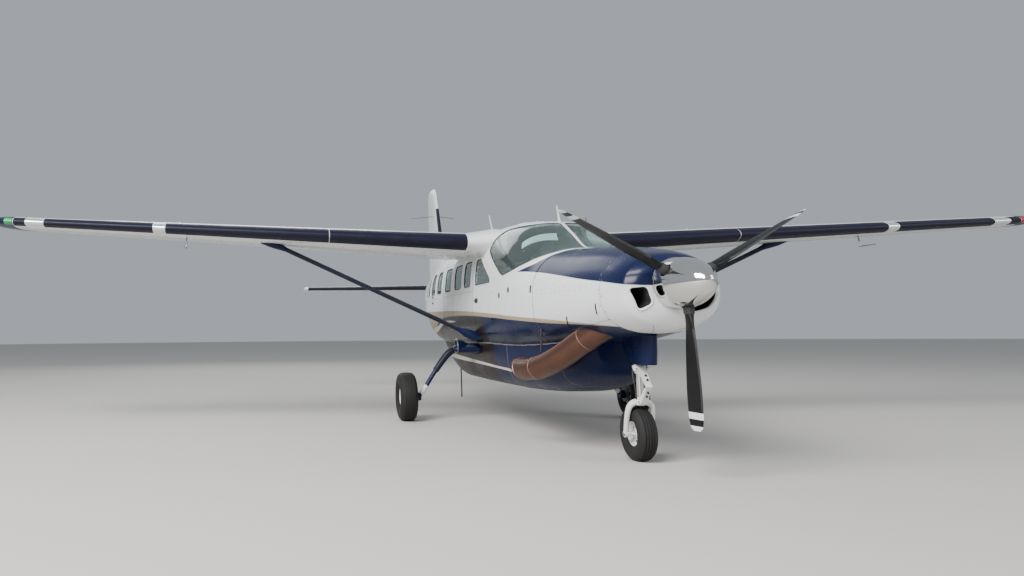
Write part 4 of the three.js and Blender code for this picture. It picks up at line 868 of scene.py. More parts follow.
for start, end, hinge in ((1.04, 5.2, 0.74), (5.24, 7.42, 0.77)):
    wing_forms.append(parted_form(wing_point, 0, lambda x: hinge, np.linspace(start, end, 5)))
    moving_forms.append(parted_form(wing_point, 1, lambda x: hinge, np.linspace(start + side_gap, end - side_gap, 5)))
tip_rings = [section_loop(lambda share, over: wing_point(x, share, over, 0.0, keep)) for x, keep in tip_rows]
boot_forms = [edge_band(wing_point, boot_reach, boot_thick, np.linspace(start, end, 4))
              for start, end in ((1.05, 3.02), (3.03, 5.38), (5.56, 7.13), (7.4, 7.57))]
lamp_forms = [edge_band(wing_point, 0.055, 0.003, np.linspace(start, end, 3))
              for start, end in ((5.39, 5.55), (7.14, 7.39))]
seam_half, seam_lift = 0.0015, 0.0004
seam_forms = [skin_strip(wing_point(x, np.linspace(0.09, 0.72, 24), over, seam_lift), (seam_half, 0, 0), over)
              for x in (1.045, 1.62, 2.2, 2.8, 3.4, 4.0, 4.6, 5.22, 5.8, 6.4, 7.0, 7.43) for over in (1, -1)]
seam_forms += [skin_strip(np.stack([wing_point(x, np.array([share]), over, seam_lift)[0]
                                    for x in np.linspace(1.05, 7.5, 12)]), (0, seam_half, 0), over)
               for share in (0.3, 0.55) for over in (1, -1)]

strut_foot, strut_head = np.array((0.79, aft(5.18), 1.262)), np.array((4.04, aft(5.035), 2.765))
strut_along = unit(strut_head - strut_foot)
strut_aft = unit(np.array([0, 1.0, 0]) - strut_along * strut_along[1])
strut_over = np.cross(strut_along, strut_aft)


def strut_loop(share, chord, depth, lead):
    """Ring of the strut at a share of its length."""
    half = aerofoil(chord, depth, 0.0, skin_share)[1]
    centre = strut_foot + (strut_head - strut_foot) * share
    run, rise = (skin_share * chord - lead)[:, None] * strut_aft, half[:, None] * strut_over
    return centre + np.concatenate([(run + rise)[::-1], (run - rise)[1:]])


# share of the length, chord, depth, lead: plain between two flared ends
strut_rows = np.array([[0.0, 0.33, 0.44, 0.14], [0.03, 0.31, 0.44, 0.13], [0.06, 0.25, 0.41, 0.106],
                       [0.085, 0.196, 0.35, 0.083], [0.1, 0.19, 0.34, 0.08], [0.87, 0.19, 0.34, 0.08],
                       [0.89, 0.214, 0.38, 0.092], [0.92, 0.256, 0.46, 0.112], [0.95, 0.29, 0.5, 0.128],
                       [1.0, 0.31, 0.5, 0.138]])
strut_ends, strut_middle = [
    [spanwise(lambda share: strut_loop(share, *smooth_rows(strut_rows, np.array(share))), stops) for stops in group]
    for group in ((np.linspace(0, 0.1, 14), np.linspace(0.87, 0.985, 14)), [(0.1, 0.4, 0.7, 0.87)])]
boss = bar((0.845, aft(5.165), 1.3), (0.872, aft(5.16), 1.312), 0.034, 24)
side_pieces(("wing_skin_{}", wing_forms, wing_paint, "white", "airframe", "wing_{}"),
            ("wing_cap_{}", [ring_tube(np.stack(tip_rings), False)], navy_paint, "navy", "airframe"),
            ("wing_boots_{}", boot_forms, boot_rubber, "rubber", "airframe"),
            ("wing_lamps_{}", lamp_forms, lamp_glass, "chrome", "airframe"),
            ("wing_seams_{}", seam_forms, seam_dark, "grey", "airframe"),
            ("flap_skin_{}", moving_forms[:1], wing_paint, "white", "flap_{}", "flap_{}"),
            ("aileron_skin_{}", moving_forms[1:], wing_paint, "white", "aileron_{}", "aileron_{}"),
            ("strut_{}", strut_middle, strut_paint, "black", "airframe", "wing_strut_{}"),
            ("strut_ends_{}", strut_ends, navy_paint, "navy", "airframe"),
            ("strut_boss_{}", [boss], steel, "chrome", "airframe"))

# Tail
# The tailcone is riveted aluminium like the cabin. Tailplane and fin carry rubber boots on their leading
# edges; the elevators and the rudder hang on hinges behind them.
cone_start, cone_end = 9.3403, 12.1
half_cone = hull_panel(cone_start, cone_end, -90, 90, rectangle(cone_start, cone_end, 1.0, 3.0), wall=0.012,
                       cell=0.042)
end_ring = hull_point(np.full(40, cone_end - 0.001), np.linspace(-np.pi / 2, np.pi / 2, 40))
end_cap = np.concatenate([end_ring, (end_ring * (-1, 1, 1))[1:-1][::-1]])
piece("tailcone_skin", [*both_sides(half_cone), ring_tube(np.stack([end_cap - (0, 0.01, 0), end_cap]), False)],
      hull_paint, "airframe", ["tailcone"])


def plane_point(x, share, over, lift=0.0):
    """Point of the tailplane's skin."""
    along = (x - 0.15) / 2.975
    chord = 1.33 - 0.47 * along
    run = share * chord
    half = aerofoil(chord, 0.11, 0.0, share)[1]
    return np.stack([x + 0 * run, aft(11.06 + 0.31 * along + run), 2.335 + over * (half + lift)], -1)


def fin_edges(z):
    """Stations of the fin's leading edge, of the rudder's hinge and of the trailing edge at a height."""
    along = (z - 2.13) / 2.43
    return 10.56 + 1.08 * along, 12.19 + 0.11 * (z - 2.15) / 2.41, length - 0.07 * along


def fin_point(z, share, over, lift=0.0, keep=1.0):
    """Point of the fin's skin: the left side for over +1, the right for -1."""
    lead, _, tail = fin_edges(z)
    full = tail - lead
    chord = full * keep
    run = share * chord
    half = aerofoil(chord, 0.085, 0.0, share)[1]
    return np.stack([over * (half + lift), aft(lead + (full - chord) * 0.6 + run), z + 0 * run], -1)


def rudder_share(z):
    """Share of the fin's chord at which the rudder hangs."""
    lead, hinge, tail = fin_edges(z)
    return (hinge - lead) / (tail - lead)


plane_forms = [plain_form(plane_point, stops) for stops in ((0.15, 0.32), (3.06, 3.1, 3.125))]
plane_forms.append(parted_form(plane_point, 0, lambda x: 0.62, np.linspace(0.32, 3.06, 4)))
elevator_form = parted_form(plane_point, 1, lambda x: 0.62, np.linspace(0.328, 3.052, 4))
plane_boot = edge_band(plane_point, boot_reach, boot_thick, np.linspace(0.36, 3.05, 3))
side_pieces(("tailplane_skin_{}", plane_forms, wing_paint, "white", "airframe", "tailplane_{}"),
            ("tailplane_boot_{}", [plane_boot], boot_rubber, "rubber", "airframe"),
            ("elevator_skin_{}", [elevator_form], wing_paint, "white", "elevator_{}", "elevator_{}"))

fin_top = [(4.56, 1.0), (4.61, 0.985), (4.655, 0.95), (4.69, 0.88), (4.705, 0.82), (4.71, 0.8)]
fin_forms = [ring_tube(np.stack([section_loop(lambda share, over: fin_point(z, share, over, 0.0, keep))
                                 for z, keep in fin_top]), False),
             parted_form(fin_point, 0, rudder_share, np.linspace(2.4, 4.56, 6))]
rudder_form = parted_form(fin_point, 1, rudder_share, np.linspace(2.158, 4.552, 6))
dorsal_line = rounded([(8.85, 2.6), (11.0, 2.4), (11.0, 2.9), (10.7, 2.96), (10.3, 2.86)], 0.05)
ridge = []
for x, gap in ((-0.026, -0.012), (-0.022, -0.003), (-0.014, 0.0), (0.014, 0.0), (0.022, -0.003), (0.026, -0.012)):
    line = grown(dorsal_line, gap)
    ridge.append(np.column_stack([np.full(len(line), x), aft(line[:, 0]), line[:, 1]]))
fin_forms.append(ring_tube(np.stack(ridge), False))
fin_paint = material("fin_paint", *white_tones, rough=(0.2, 0.32), coat=0.5, patch=1.5, grain=(900, 0.0))
fin_boot = edge_band(fin_point, 0.075, boot_thick, np.linspace(2.98, 4.2, 3))
piece("fin_skin", fin_forms, fin_paint, "airframe", ["fin"])
piece("rudder_skin", [rudder_form], fin_paint, "rudder", ["rudder"])
piece("fin_boot", [fin_boot], boot_rubber, "airframe")

# Propeller
# Three composite blades, standing in feather, in a polished spinner. The blades are black with a narrow strip
# of dull metal along the leading edge and a white, black and white band at the tip.
blade_rows = np.array([[0.06, 0.092, 0.092, 104], [0.128, 0.092, 0.092, 104], [0.25, 0.096, 0.088, 102],
                       [0.38, 0.165, 0.052, 99], [0.62, 0.232, 0.03, 94], [0.95, 0.248, 0.02, 88],
                       [1.2, 0.226, 0.014, 85], [1.31, 0.176, 0.01, 83], [1.345, 0.096, 0.007, 82]])
blade_angles, blade_station = (60, 180, 300), 0.4


def blade_section(radius, turn, swell=0.0):
    """Points round an oval section of the blade, turned by its pitch, square to the blade's own upright axis."""
    chord, thick, pitch = smooth_rows(blade_rows, np.array(radius))
    run, rise = (chord / 2 + swell) * np.cos(turn), (thick / 2 + swell) * np.sin(turn)
    angle = math.radians(pitch)
    return np.stack([run * math.cos(angle) - rise * math.sin(angle), run * math.sin(angle) + rise * math.cos(angle),
                     np.full(len(turn), radius)], 1)


def on_blades(form):
    """A form built upright, turned about the shaft and set at the hub, once for each blade."""
    points, faces = form
    x, y, z = points.T
    return [(np.stack([x * math.cos(a) + z * math.sin(a), y + aft(blade_station),
                       z * math.cos(a) - x * math.sin(a) + hub_height], 1), faces)
            for a in np.radians(blade_angles)]


blade_stops = np.concatenate([np.linspace(0.06, 0.34, 8), np.linspace(0.38, 1.25, 26), np.linspace(1.27, 1.3449, 9)])
blade = spanwise(lambda radius: blade_section(radius, circle(36)), blade_stops)
# a collar of dark rubber where the blade enters the spinner
collar = ring_tube(np.stack([blade_section(radius, circle(36), swell) for radius, swell in
                             ((0.205, 0.001), (0.215, 0.006), (0.285, 0.006), (0.295, 0.001))]), False)
edge_turn = np.linspace(math.pi - 0.62, math.pi + 0.62, 15)
strip = spanwise(lambda radius: np.concatenate([blade_section(radius, edge_turn, 0.0012),
                                                blade_section(radius, edge_turn, -0.001)[::-1]]),
                 np.linspace(0.43, 1.17, 24))
# the tip's bands: a ramp of black and white steps over the distance from the hub
blade_black = material("blade_black", (0.004, 0.004, 0.0045), (0.008, 0.008, 0.009), rough=(0.4, 0.55), patch=7,
                       spec=0.2)
tree, ramp_reach = blade_black.node_tree, 1.4
spot_node = tree.nodes.new("ShaderNodeTexCoord")
flat, from_hub = tree.nodes.new("ShaderNodeVectorMath"), tree.nodes.new("ShaderNodeVectorMath")
flat.operation, from_hub.operation = "MULTIPLY", "DISTANCE"
flat.inputs[1].default_value, from_hub.inputs[1].default_value = (1, 0, 1), (0, 0, hub_height)
share_node = tree.nodes.new("ShaderNodeMath")
share_node.operation = "DIVIDE"
share_node.inputs[1].default_value = ramp_reach
bands = tree.nodes.new("ShaderNodeValToRGB")
bands.color_ramp.interpolation = "CONSTANT"
for index, (radius, tone) in enumerate(((0.0, 0), (1.18, 1), (1.236, 0), (1.298, 1), (1.35, 0))):
    steps = bands.color_ramp.elements
    step = steps[index] if index < 2 else steps.new(radius / ramp_reach)
    step.position, step.color = radius / ramp_reach, (tone, tone, tone, 1)
for outlet, inlet in ((spot_node.outputs["Object"], flat.inputs[0]), (flat.outputs["Vector"], from_hub.inputs[0]),
                      (from_hub.outputs["Value"], share_node.inputs[0]),
                      (share_node.outputs["Value"], bands.inputs["Fac"])):
    tree.links.new(outlet, inlet)
cover(blade_black, bands.outputs["Color"], (0.75, 0.75, 0.74))
worn_metal = material("worn_metal", (0.045, 0.045, 0.047), (0.03, 0.03, 0.032), rough=(0.35, 0.55), metal=0.3,
                      patch=14)
core = [bar((0, aft(0.31), hub_height), (0, aft(0.49), hub_height), 0.13, 48),
        bar((0, aft(0.37), hub_height), (0, aft(1.0197), hub_height), 0.062, 32)]
piece("blades", on_blades(blade) + core, blade_black, "propeller_unit", ["propeller"])
piece("blade_collars", on_blades(collar), seal_rubber, "propeller_unit")
piece("blade_strips", on_blades(strip), worn_metal, "propeller_unit")

# spinner: profile of radius against distance, cut by the three blade holes
spinner_rows = np.array([[0.0, 0.0005], [0.007, 0.03], [0.024, 0.057], [0.058, 0.096], [0.105, 0.132],
                         [0.17, 0.168], [0.24, 0.196], [0.32, 0.22], [0.41, 0.234], [0.58, 0.246]])
runs = np.concatenate([[0.0, 0.002, 0.006], np.linspace(0.012, 0.58, 72)])
radii = smooth_rows(spinner_rows, runs)[:, 0]
arc = np.concatenate([[0], np.cumsum(np.hypot(np.diff(runs), np.diff(radii)))])
hole_radius, turn = 0.066, circle(40)
hole_arc, hole_wide = np.interp(blade_station, runs, arc), hole_radius / np.interp(blade_station, runs, radii)
holes = [np.stack([angle + hole_wide * np.cos(turn), hole_arc + hole_radius * np.sin(turn)], 1)
         for angle in np.radians(blade_angles)]
# the angle runs from the upright towards the left wing, as the blades' does
spots, quads = cut_grid(np.linspace(0, 2 * np.pi, 133), np.linspace(0, arc[-1], 64),
                        np.array(rectangle(0, 2 * np.pi, 0, arc[-1])), holes)


def spinner_skin(inset):
    """Points of the spinner at an inset from its skin."""
    run = np.interp(spots[:, 1], arc, runs)
    radius = np.maximum(np.interp(spots[:, 1], arc, radii) - inset, 0.0004)
    return np.stack([radius * np.sin(spots[:, 0]), aft(run + inset * (run < 0.3)),
                     hub_height + radius * np.cos(spots[:, 0])], 1)


chrome = material("polished_metal", (0.8, 0.79, 0.77), (0.66, 0.65, 0.64), rough=(0.05, 0.12), metal=1.0, patch=2.5,
                  grain=(400, 0.008))
plate = bar((0, aft(0.562), hub_height), (0, aft(0.5795), hub_height), 0.2415, 72)
rim_section = ((0.2465, 0.552), (0.2475, 0.556), (0.2475, 0.574), (0.2465, 0.578), (0.242, 0.578), (0.242, 0.552))
rim = ring_tube(np.array([[(r * math.sin(t), aft(s), hub_height + r * math.cos(t)) for r, s in rim_section]
                          for t in circle(96)]), True)
piece("spinner_skin", [outward(*walled(spinner_skin(0.0), spinner_skin(0.003), quads)), plate, rim], chrome,
      "propeller_unit", ["spinner"])

# Landing gear
# The nose wheel stands in a welded steel fork under an oleo strut, with torque links ahead of it. The main
# wheels stand on curved tubular steel legs that leave the fuselage through a rounded fairing.
def turned(profile, centre, axis, sides=64):
    """A closed profile of radius and distance turned about an axle (axis 0) or a shaft (axis 2)."""
    turn = circle(sides)[:, None]
    radius, run = np.asarray(profile, float).T
    a, b = radius * np.cos(turn), radius * np.sin(turn)
    run = run + 0 * a
    spots = np.stack([run, a, b] if axis == 0 else [a, b, run], -1)
    return ring_tube(spots + np.asarray(centre), True)


wheel_white = material("wheel_white", (0.72, 0.72, 0.71), (0.6, 0.59, 0.57), rough=(0.3, 0.5), patch=18)
tyre_rubber = material("tyre_rubber", (0.01, 0.01, 0.01), (0.022, 0.02, 0.019), rough=(0.6, 0.85), patch=9,
                       grain=(260, 0.12), spec=0.3)
gear_navy = material("gear_navy", *navy_tones, rough=(0.26, 0.42), spec=0.2, coat=0.05, patch=9)
gear_white = material("gear_white", (0.74, 0.74, 0.73), (0.62, 0.61, 0.59), rough=(0.3, 0.48), patch=12)
brake_grey = material("brake_grey", (0.2, 0.2, 0.21), (0.12, 0.12, 0.125), rough=(0.4, 0.6), metal=0.7, patch=25)


def tyre_profile(outer, rim, width):
    """A closed tyre section: bulged walls, rounded shoulders and four grooves in the tread."""
    half, bead, wall = width / 2, rim + joint, outer - rim
    walls = [(bead + wall * up, -half * out) for up, out in ((0, 0.6), (0.1, 0.76), (0.28, 0.94), (0.48, 0.995),
                                                             (0.66, 0.97), (0.8, 0.9))]
    walls += [(outer - wall * down, -half * out) for down, out in ((0.11, 0.76), (0.055, 0.66), (0.028, 0.56))]
    tread = []
    for middle in (-0.42, -0.15, 0.15, 0.42):
        crown = outer - 0.02 * middle ** 2
        for step, deep in ((-0.055, 0.0), (-0.045, 0.008), (0.045, 0.008), (0.055, 0.0)):
            tread.append((crown - deep, half * (middle + step)))
    tread.insert(8, (outer, 0.0))
    return walls + tread + [(r, -d) for r, d in walls[::-1]]


def wheel_profile(rim, half, bore):
    """A closed section of a cast rim: flanges, a well and a dished disc."""
    right = [(bore, half * 0.72), (rim * 0.34, half * 0.72), (rim * 0.38, half * 0.5), (rim * 0.74, half * 0.36),
             (rim * 0.82, half * 0.62), (rim * 0.9, half * 0.96), (rim * 0.955, half * 1.06), (rim - 0.0002, half),
             (rim - 0.002, half * 0.8)]
    return right + [(r, -d) for r, d in right[::-1]]


def wheel_set(name, body, x, station, rim, outer, width, height, bore, faces_out):
    """Tyre, rim, dark discs of painted shade for the holes in its disc, bolts and valve of one wheel."""
    stem, _, tail = name.partition("_")
    tail = tail and f"_{tail}"
    centre = (x, aft(station), height)
    half = width * 0.31

    def stub(outs, reaches, turn, radius, sides):
        """A bar between two distances out of the wheel's middle, each at its radius, at an angle round the axle."""
        return bar(*[(x + out, aft(station) + reach * math.cos(turn), height + reach * math.sin(turn))
                     for out, reach in zip(outs, reaches)], radius, sides)
    points, faces = turned(tyre_profile(outer, rim, width), centre, 0, 96)
    # the wheel stands on a short flat, as a loaded tyre does
    points[:, 2] = np.maximum(points[:, 2], 0.0)
    piece(f"{name}_rubber", [(points, faces)], tyre_rubber, body, [f"{stem}_tyre{tail}"])
    piece(f"{name}_wheel", [turned(wheel_profile(rim, half, bore), centre, 0, 72)], wheel_white, body,
          [f"{stem}_rim{tail}"])
    # dark: discs of painted shade where the wheel's disc has holes
    dark, shine = [], []
    for side in (1, -1):
        for a in circle(8):
            dark.append(stub((side * (half * 0.425 - 0.004), side * (half * 0.425 + 0.0015)), [rim * 0.56] * 2, a,
                             rim * 0.095, 14))
            shine.append(stub((side * half * 0.72, side * (half * 0.72 + 0.006)), [rim * 0.29] * 2, a + 0.3, 0.006, 6))
    valve = stub((faces_out * half * 0.5, faces_out * (half * 0.5 + 0.022)), (rim * 0.7, rim * 0.68), np.pi / 2,
                 0.004, 8)
    piece(f"{name}_holes", dark, painted_shade_black, body)
    piece(f"{name}_bolts", shine + [valve], steel, body)


# the tyres' solids have 20 sides and stand on a flat, so the axles are a little lower than the tyres' radius
flat_share = math.cos(math.pi / 20)
nose_height, main_height = 0.28 * flat_share, 0.368 * flat_share
wheel_set("nose", "nose_wheel", 0.0, 1.6, 0.128, 0.28, 0.2, nose_height, 0.023, 1)
for side, sign in (("left", 1), ("right", -1)):
    wheel_set(f"main_{side}", f"main_wheel_{side}", sign * 1.78, 5.65, 0.15, 0.368, 0.27, main_height, 0.031, sign)


def cross_bar(reach, spot, radius, sides):
    """A bar across the aircraft, as far to the left as to the right."""
    return bar((-reach, *spot), (reach, *spot), radius, sides)


y, axle, knee = aft(1.5), (aft(1.6), nose_height), (aft(1.3), 0.78)
link_pins = (aft(1.44), 0.955), (aft(1.44), 0.615)
upright = (0, 1, 0)  # the level direction that swept tubes of the gear are measured against
strut_tube = [bar((0, y, 0.905), (0, y, 1.3), 0.046, 40),
              turned([(0.0462, 0.93), (0.056, 0.935), (0.056, 0.955), (0.0462, 0.96)], (0, y, 0), 2, 40)]
fork_forms = [bar((0, y, 0.575), (0, y, 0.9046), 0.034, 40),
              turned([(0.0484, 0.925), (0.064, 0.929), (0.066, 0.934), (0.066, 0.981), (0.064, 0.986), (0.0484, 0.99)],
                     (0, y, 0), 2, 48)]
# the fork: an arch of tapering tube over the tyre and down to the axle on both sides
for side in (1, -1):
    line = smooth_path([(side * 0.02, y, 0.612), (side * 0.075, y + 0.002, 0.604), (side * 0.118, y + 0.01, 0.566),
                        (side * 0.133, y + 0.035, 0.49), (side * 0.136, y + 0.07, 0.38),
                        (side * 0.134, axle[0], nose_height)], 28)
    size = np.interp(np.linspace(0, 1, 28), [0, 0.3, 0.6, 1], [0.036, 0.031, 0.027, 0.024])
    fork_forms += [ring_tube(swept(line, size, size * 1.1, 20, up=(0, 1, 0.3)), False),
                   bar((side * 0.112, *axle), (side * 0.15, *axle), 0.036, 28)]
fork_forms += [cross_bar(0.15, axle, 0.0224, 24), block((-0.06, y - 0.048, 0.585), (0.06, y + 0.048, 0.632), 0.016)]


def link_arm(points, widths):
    """A flat forged arm in the side view, from a centre line of (y, z) points and half widths."""
    along = unit(np.gradient(np.asarray(points, float), axis=0))
    across = np.stack([-along[:, 1], along[:, 0]], 1) * np.asarray(widths)[:, None]
    rings = []
    for point, reach, half in zip(np.asarray(points, float), across, widths):
        (y0, z0), (y1, z1) = point - reach, point + reach
        wide = 0.012 + half * 0.9
        rings.append([(-wide, y0, z0), (wide, y0, z0), (wide, y1, z1), (-wide, y1, z1)])
    return ring_tube(np.array(rings), False)


fork_forms += [link_arm([(aft(1.445), 0.962), (aft(1.4), 0.905), (aft(1.35), 0.842), knee],
                        (0.03, 0.024, 0.019, 0.017)),
               link_arm([knee, (aft(1.35), 0.724), (aft(1.4), 0.665), (aft(1.445), 0.612)],
                        (0.017, 0.019, 0.024, 0.03)), cross_bar(0.034, knee, 0.018, 20)]
fork_forms += [cross_bar(0.046, pin, 0.016, 20) for pin in link_pins]
nuts = [bar((side * 0.15, *axle), (side * 0.166, *axle), 0.018, 6) for side in (1, -1)]
nuts.append(cross_bar(0.04, knee, 0.009, 6))
# dark bolt heads at the joints of the links, dark discs of painted shade for the pockets in their faces, and the hose
# of the oleo
dark_bits = []
for spot, reach in ((knee, 0.042), (link_pins[0], 0.052), (link_pins[1], 0.052)):
    dark_bits += [bar((side * (reach - 0.004), *spot), (side * reach, *spot), 0.0095, 6) for side in (1, -1)]
# the pockets: dark discs of painted shade in the links' faces
for low_spot, high_spot in (((aft(1.306), 0.805), (aft(1.392), 0.912)), ((aft(1.306), 0.755), (aft(1.392), 0.655))):
    run = np.array(high_spot) - low_spot
    way = np.array([-abs(run[1]), run[0] * np.sign(run[1])]) / np.linalg.norm(run)
    for share in (0.3, 0.7):
        spot = np.array(low_spot) + run * share + way * 0.0125
        dark_bits.append(bar((0, *(spot - way * 0.006)), (0, *(spot + way * 0.009)), 0.012, 20))
hose_path = smooth_path([(-0.05, aft(1.53), 0.975), (-0.085, aft(1.47), 0.9), (-0.08, aft(1.45), 0.8),
                         (-0.062, aft(1.47), 0.7), (-0.05, aft(1.49), 0.625)], 40)
dark_bits.append(cord(hose_path, 0.007, 12, upright))
collars = [bar((0, y, rise), (0, y, rise + 0.022), 0.047, 40) for rise in (0.64, 0.905)]
damper = [bar((0.062, aft(1.4), 0.957), (0.062, aft(1.6), 0.957), 0.019, 24),
          bar((0.062, aft(1.36), 0.957), (0.062, aft(1.42), 0.957), 0.008, 16)]
piece("nose_strut_tube", strut_tube, gear_white, "airframe", ["nose_strut"])
piece("nose_fork_forging", fork_forms, gear_white, "nose_steering", ["nose_fork"])
for name, forms, finish, slot in (
        ("oleo_chrome", [bar((0, y, 0.64), (0, y, 0.9043), 0.0352, 40)], chrome, "chrome"),
        ("nuts", nuts, steel, "chrome"), ("bolts", dark_bits, handle_black, "black"),
        ("collars", collars, gear_white, "white"), ("damper", damper, gear_white, "white")):
    piece(f"nose_{name}", forms, finish, "nose_steering")

wedge_rings = []
for z, keep in ((1.3, 1.0), (1.21, 0.93), (1.12, 0.86), (1.06, 0.74), (1.015, 0.635), (1.0, 0.6)):
    lead, tail = aft(1.11 + 0.15 * (1 - keep)), aft(1.93 + 0.76 * (keep - 1))
    chord = tail - lead
    half = aerofoil(chord, 0.164 / chord, 0.0, skin_share)[1]
    wedge_rings.append(section_loop(lambda share, over: np.column_stack(
        [over * np.interp(share, skin_share, half), lead + share * chord, np.full(len(share), z)])))
piece("nose_wedge", [ring_tube(np.stack(wedge_rings), False)], navy_paint, "airframe", ["nose_gear_fairing"])

leg_y = aft(5.65)
leg_line = smooth_path([(0.6, leg_y, 1.062), (0.82, leg_y, 1.08), (0.98, leg_y, 1.076), (1.12, leg_y, 1.01),
                        (1.33, leg_y, 0.74), (1.52, leg_y, 0.45), (1.6, leg_y, main_height)], 60)


def on_leg(start, end, radii):
    """A round tube over the leg between two distances from the centreline, with radii at distances."""
    line = leg_line[(leg_line[:, 0] > start) & (leg_line[:, 0] < end)]
    return cord(line, np.interp(line[:, 0], *zip(*radii)), 28, upright)


def leg_bar(start, end, radius, sides):
    """A bar along the main axle."""
    return bar((start, leg_y, main_height), (end, leg_y, main_height), radius, sides)


leg = on_leg(0, 2, [(0.6, 0.041), (1.1, 0.041), (1.14, 0.0405), (1.16, 0.036), (1.6, 0.032)])
sleeve = on_leg(1.02, 1.33, [(1.02, 0.05), (1.06, 0.056), (1.29, 0.048), (1.31, 0.05), (1.33, 0.042)])
# fairing where the leg leaves the hull: a flattened ball that tapers outwards, a cup and its bright rim
u, v = np.meshgrid(np.linspace(0, 1, 34), circle(40), indexing="ij")
blend = np.clip((u - 0.35) / 0.65, 0, 1)
grow = np.sqrt(np.maximum(1 - (u * 0.985) ** 2.4, 0))
bulge = ring_tube(np.stack([0.56 + 0.47 * u, leg_y + np.cos(v) * (0.34 * grow * (1 - blend) + 0.06 * blend),
                            1.092 - 0.02 * u + np.sin(v) * (0.09 * grow * (1 - blend) + 0.058 * blend)], -1), False)
cup_y, cup_z, cup_wide = aft(5.63), 1.128, 1.12
cup = ring_tube(np.array([[(x, cup_y + r * cup_wide * math.cos(t), cup_z - drop + r * math.sin(t)) for t in circle(56)]
                          for x, r, drop in ((0.8, 0.06, 0.03), (0.88, 0.088, 0.012), (0.975, 0.099, 0),
                                             (0.978, 0.099, 0))]), False)
rim = ring_tube(np.array([[(0.985 + 0.01 * math.cos(a), cup_y + (0.112 + 0.01 * math.sin(a)) * math.cos(t),
                            cup_z + (0.1 + 0.01 * math.sin(a)) * math.sin(t)) for a in circle(10)]
                          for t in circle(56)]), True)
disc = turned([(0.036, 1.64), (0.118, 1.64), (0.118, 1.648), (0.036, 1.648)], (0, leg_y, main_height), 0, 48)
caliper = block((1.622, leg_y + 0.06, main_height - 0.055), (1.668, leg_y + 0.128, main_height + 0.055), 0.01)
hose_line = leg_line[(leg_line[:, 0] > 1.05)] + (0, 0.05, 0.018)
hose = cord(np.vstack([hose_line, [[1.63, leg_y + 0.095, main_height + 0.03]]]), 0.006, 10, upright)
side_pieces(("gear_leg_{}", [leg, leg_bar(1.56, 1.632, 0.062, 40)], gear_navy, "navy", "airframe",
             "main_gear_leg_{}"),
            ("gear_sleeve_{}", [sleeve], strut_paint, "black", "airframe"),
            ("gear_bulge_{}", [bulge, cup], navy_paint, "navy", "airframe"),
            ("gear_ring_{}", [on_leg(0.985, 1.03, [(1, 0.06)]), rim], steel, "chrome", "airframe"),
            ("gear_foot_{}", [on_leg(1.45, 1.56, [(1, 0.0385)])], gear_white, "white", "airframe"),
            ("gear_axle_{}", [leg_bar(1.6, 1.85, 0.03, 28), leg_bar(1.85, 1.862, 0.026, 6)], steel, "chrome",
             "airframe"),
            ("gear_brake_{}", [disc, caliper], brake_grey, "grey", "airframe"),
            ("gear_hose_{}", [hose], handle_black, "black", "airframe"))

# Belly pod
# A moulded composite tub under the fuselage, navy ahead and brown-grey aft with a cream sweep, with three
# doors on its left side, visible seams round its bays and a pale bead of sealant where it meets the hull.
pod_rows = np.array([[1.96, 0.985, 0.25], [2.08, 0.85, 0.4], [2.45, 0.705, 0.5], [3.1, 0.605, 0.59],
                     [4.1, 0.575, 0.66], [5.2, 0.57, 0.68], [6.9, 0.575, 0.68], [7.5, 0.68, 0.66],
                     [8.1, 0.93, 0.62], [8.42, 1.11, 0.59]])
pod_start, pod_end, pod_top, pod_power, pod_wall = 1.96, 8.42, 1.33, 4.2, 0.022
pod_doors = {"forward": (3.12, 3.94), "middle": (4.2, 5.18), "aft": (6.12, 6.9)}
pod_low, pod_high, pod_gap = 0.69, 1.03, 0.013


def pod_point(station, turn, inset=0.0):
    """Point of the pod's left half: an angle of 0 lies at the top edge of the side and -90 on the keel."""
    low, half = np.moveaxis(smooth_rows(pod_rows, station), -1, 0)
    across, down = np.cos(turn), abs(np.sin(turn))
    return np.stack([(half - inset) * across ** (2 / pod_power), aft(station),
                     pod_top - (pod_top - low - inset) * down ** (2 / pod_power)], -1)


def pod_turn(station, height):
    """Angle at which the pod's side has a height."""
    low = smooth_rows(pod_rows, station)[..., 0]
    return -np.arcsin(np.clip((pod_top - height) / (pod_top - low), 0, 1) ** (pod_power / 2))


def meeting_turn(station):
    """Angle at which the pod's side enters the hull's skin."""
    angles = np.radians(-np.linspace(0.5, 88, 500))
    spots = pod_point(station[:, None] + 0 * angles, angles + 0 * station[:, None])
    low, wide, _, half, power, _ = (size[:, None] for size in hull_sizes(station))
    share = np.clip(spots[..., 0] / half, 0, 1)
    inside = spots[..., 2] > wide - (wide - low) * (1 - share ** power) ** (1 / power) + 0.006
    return angles[np.where(inside, np.arange(500), 0).max(1)]


pod_paint = material("pod_paint", *navy_tones, rough=(0.24, 0.38), coat=0.03, patch=3, spec=0.1)
lay_over(pod_paint, slate, [(1, [(0, 3), (4.35, 3), (4.75, 0.3), (length, 0.3)])], soft=0.01)
lay_over(pod_paint, cream, [(-1, [(0, 0.2), (3.3, 0.2), (3.75, 0.815), (4.6, 0.865), (5.6, 0.905), (6.9, 0.955),
                                  (8.42, 1.03), (length, 1.1)]),
                            (1, [(0, 3), (3.3, 1.6), (3.75, 0.807), (4.6, 0.835), (5.6, 0.86), (6.9, 0.885),
                                 (8.42, 0.93), (length, 1.0)])])
stations = np.linspace(pod_start, pod_end, 216)
turns_up = np.radians(-np.linspace(0, 90, 46))[::-1]


def pod_cut(start, end, gap):
    """Outline of a pod door in stations and angles."""
    line = grown(rectangle(start, end, pod_low, pod_high, 0.03), -gap)
    return np.stack([line[:, 0], pod_turn(*line.T)], 1)


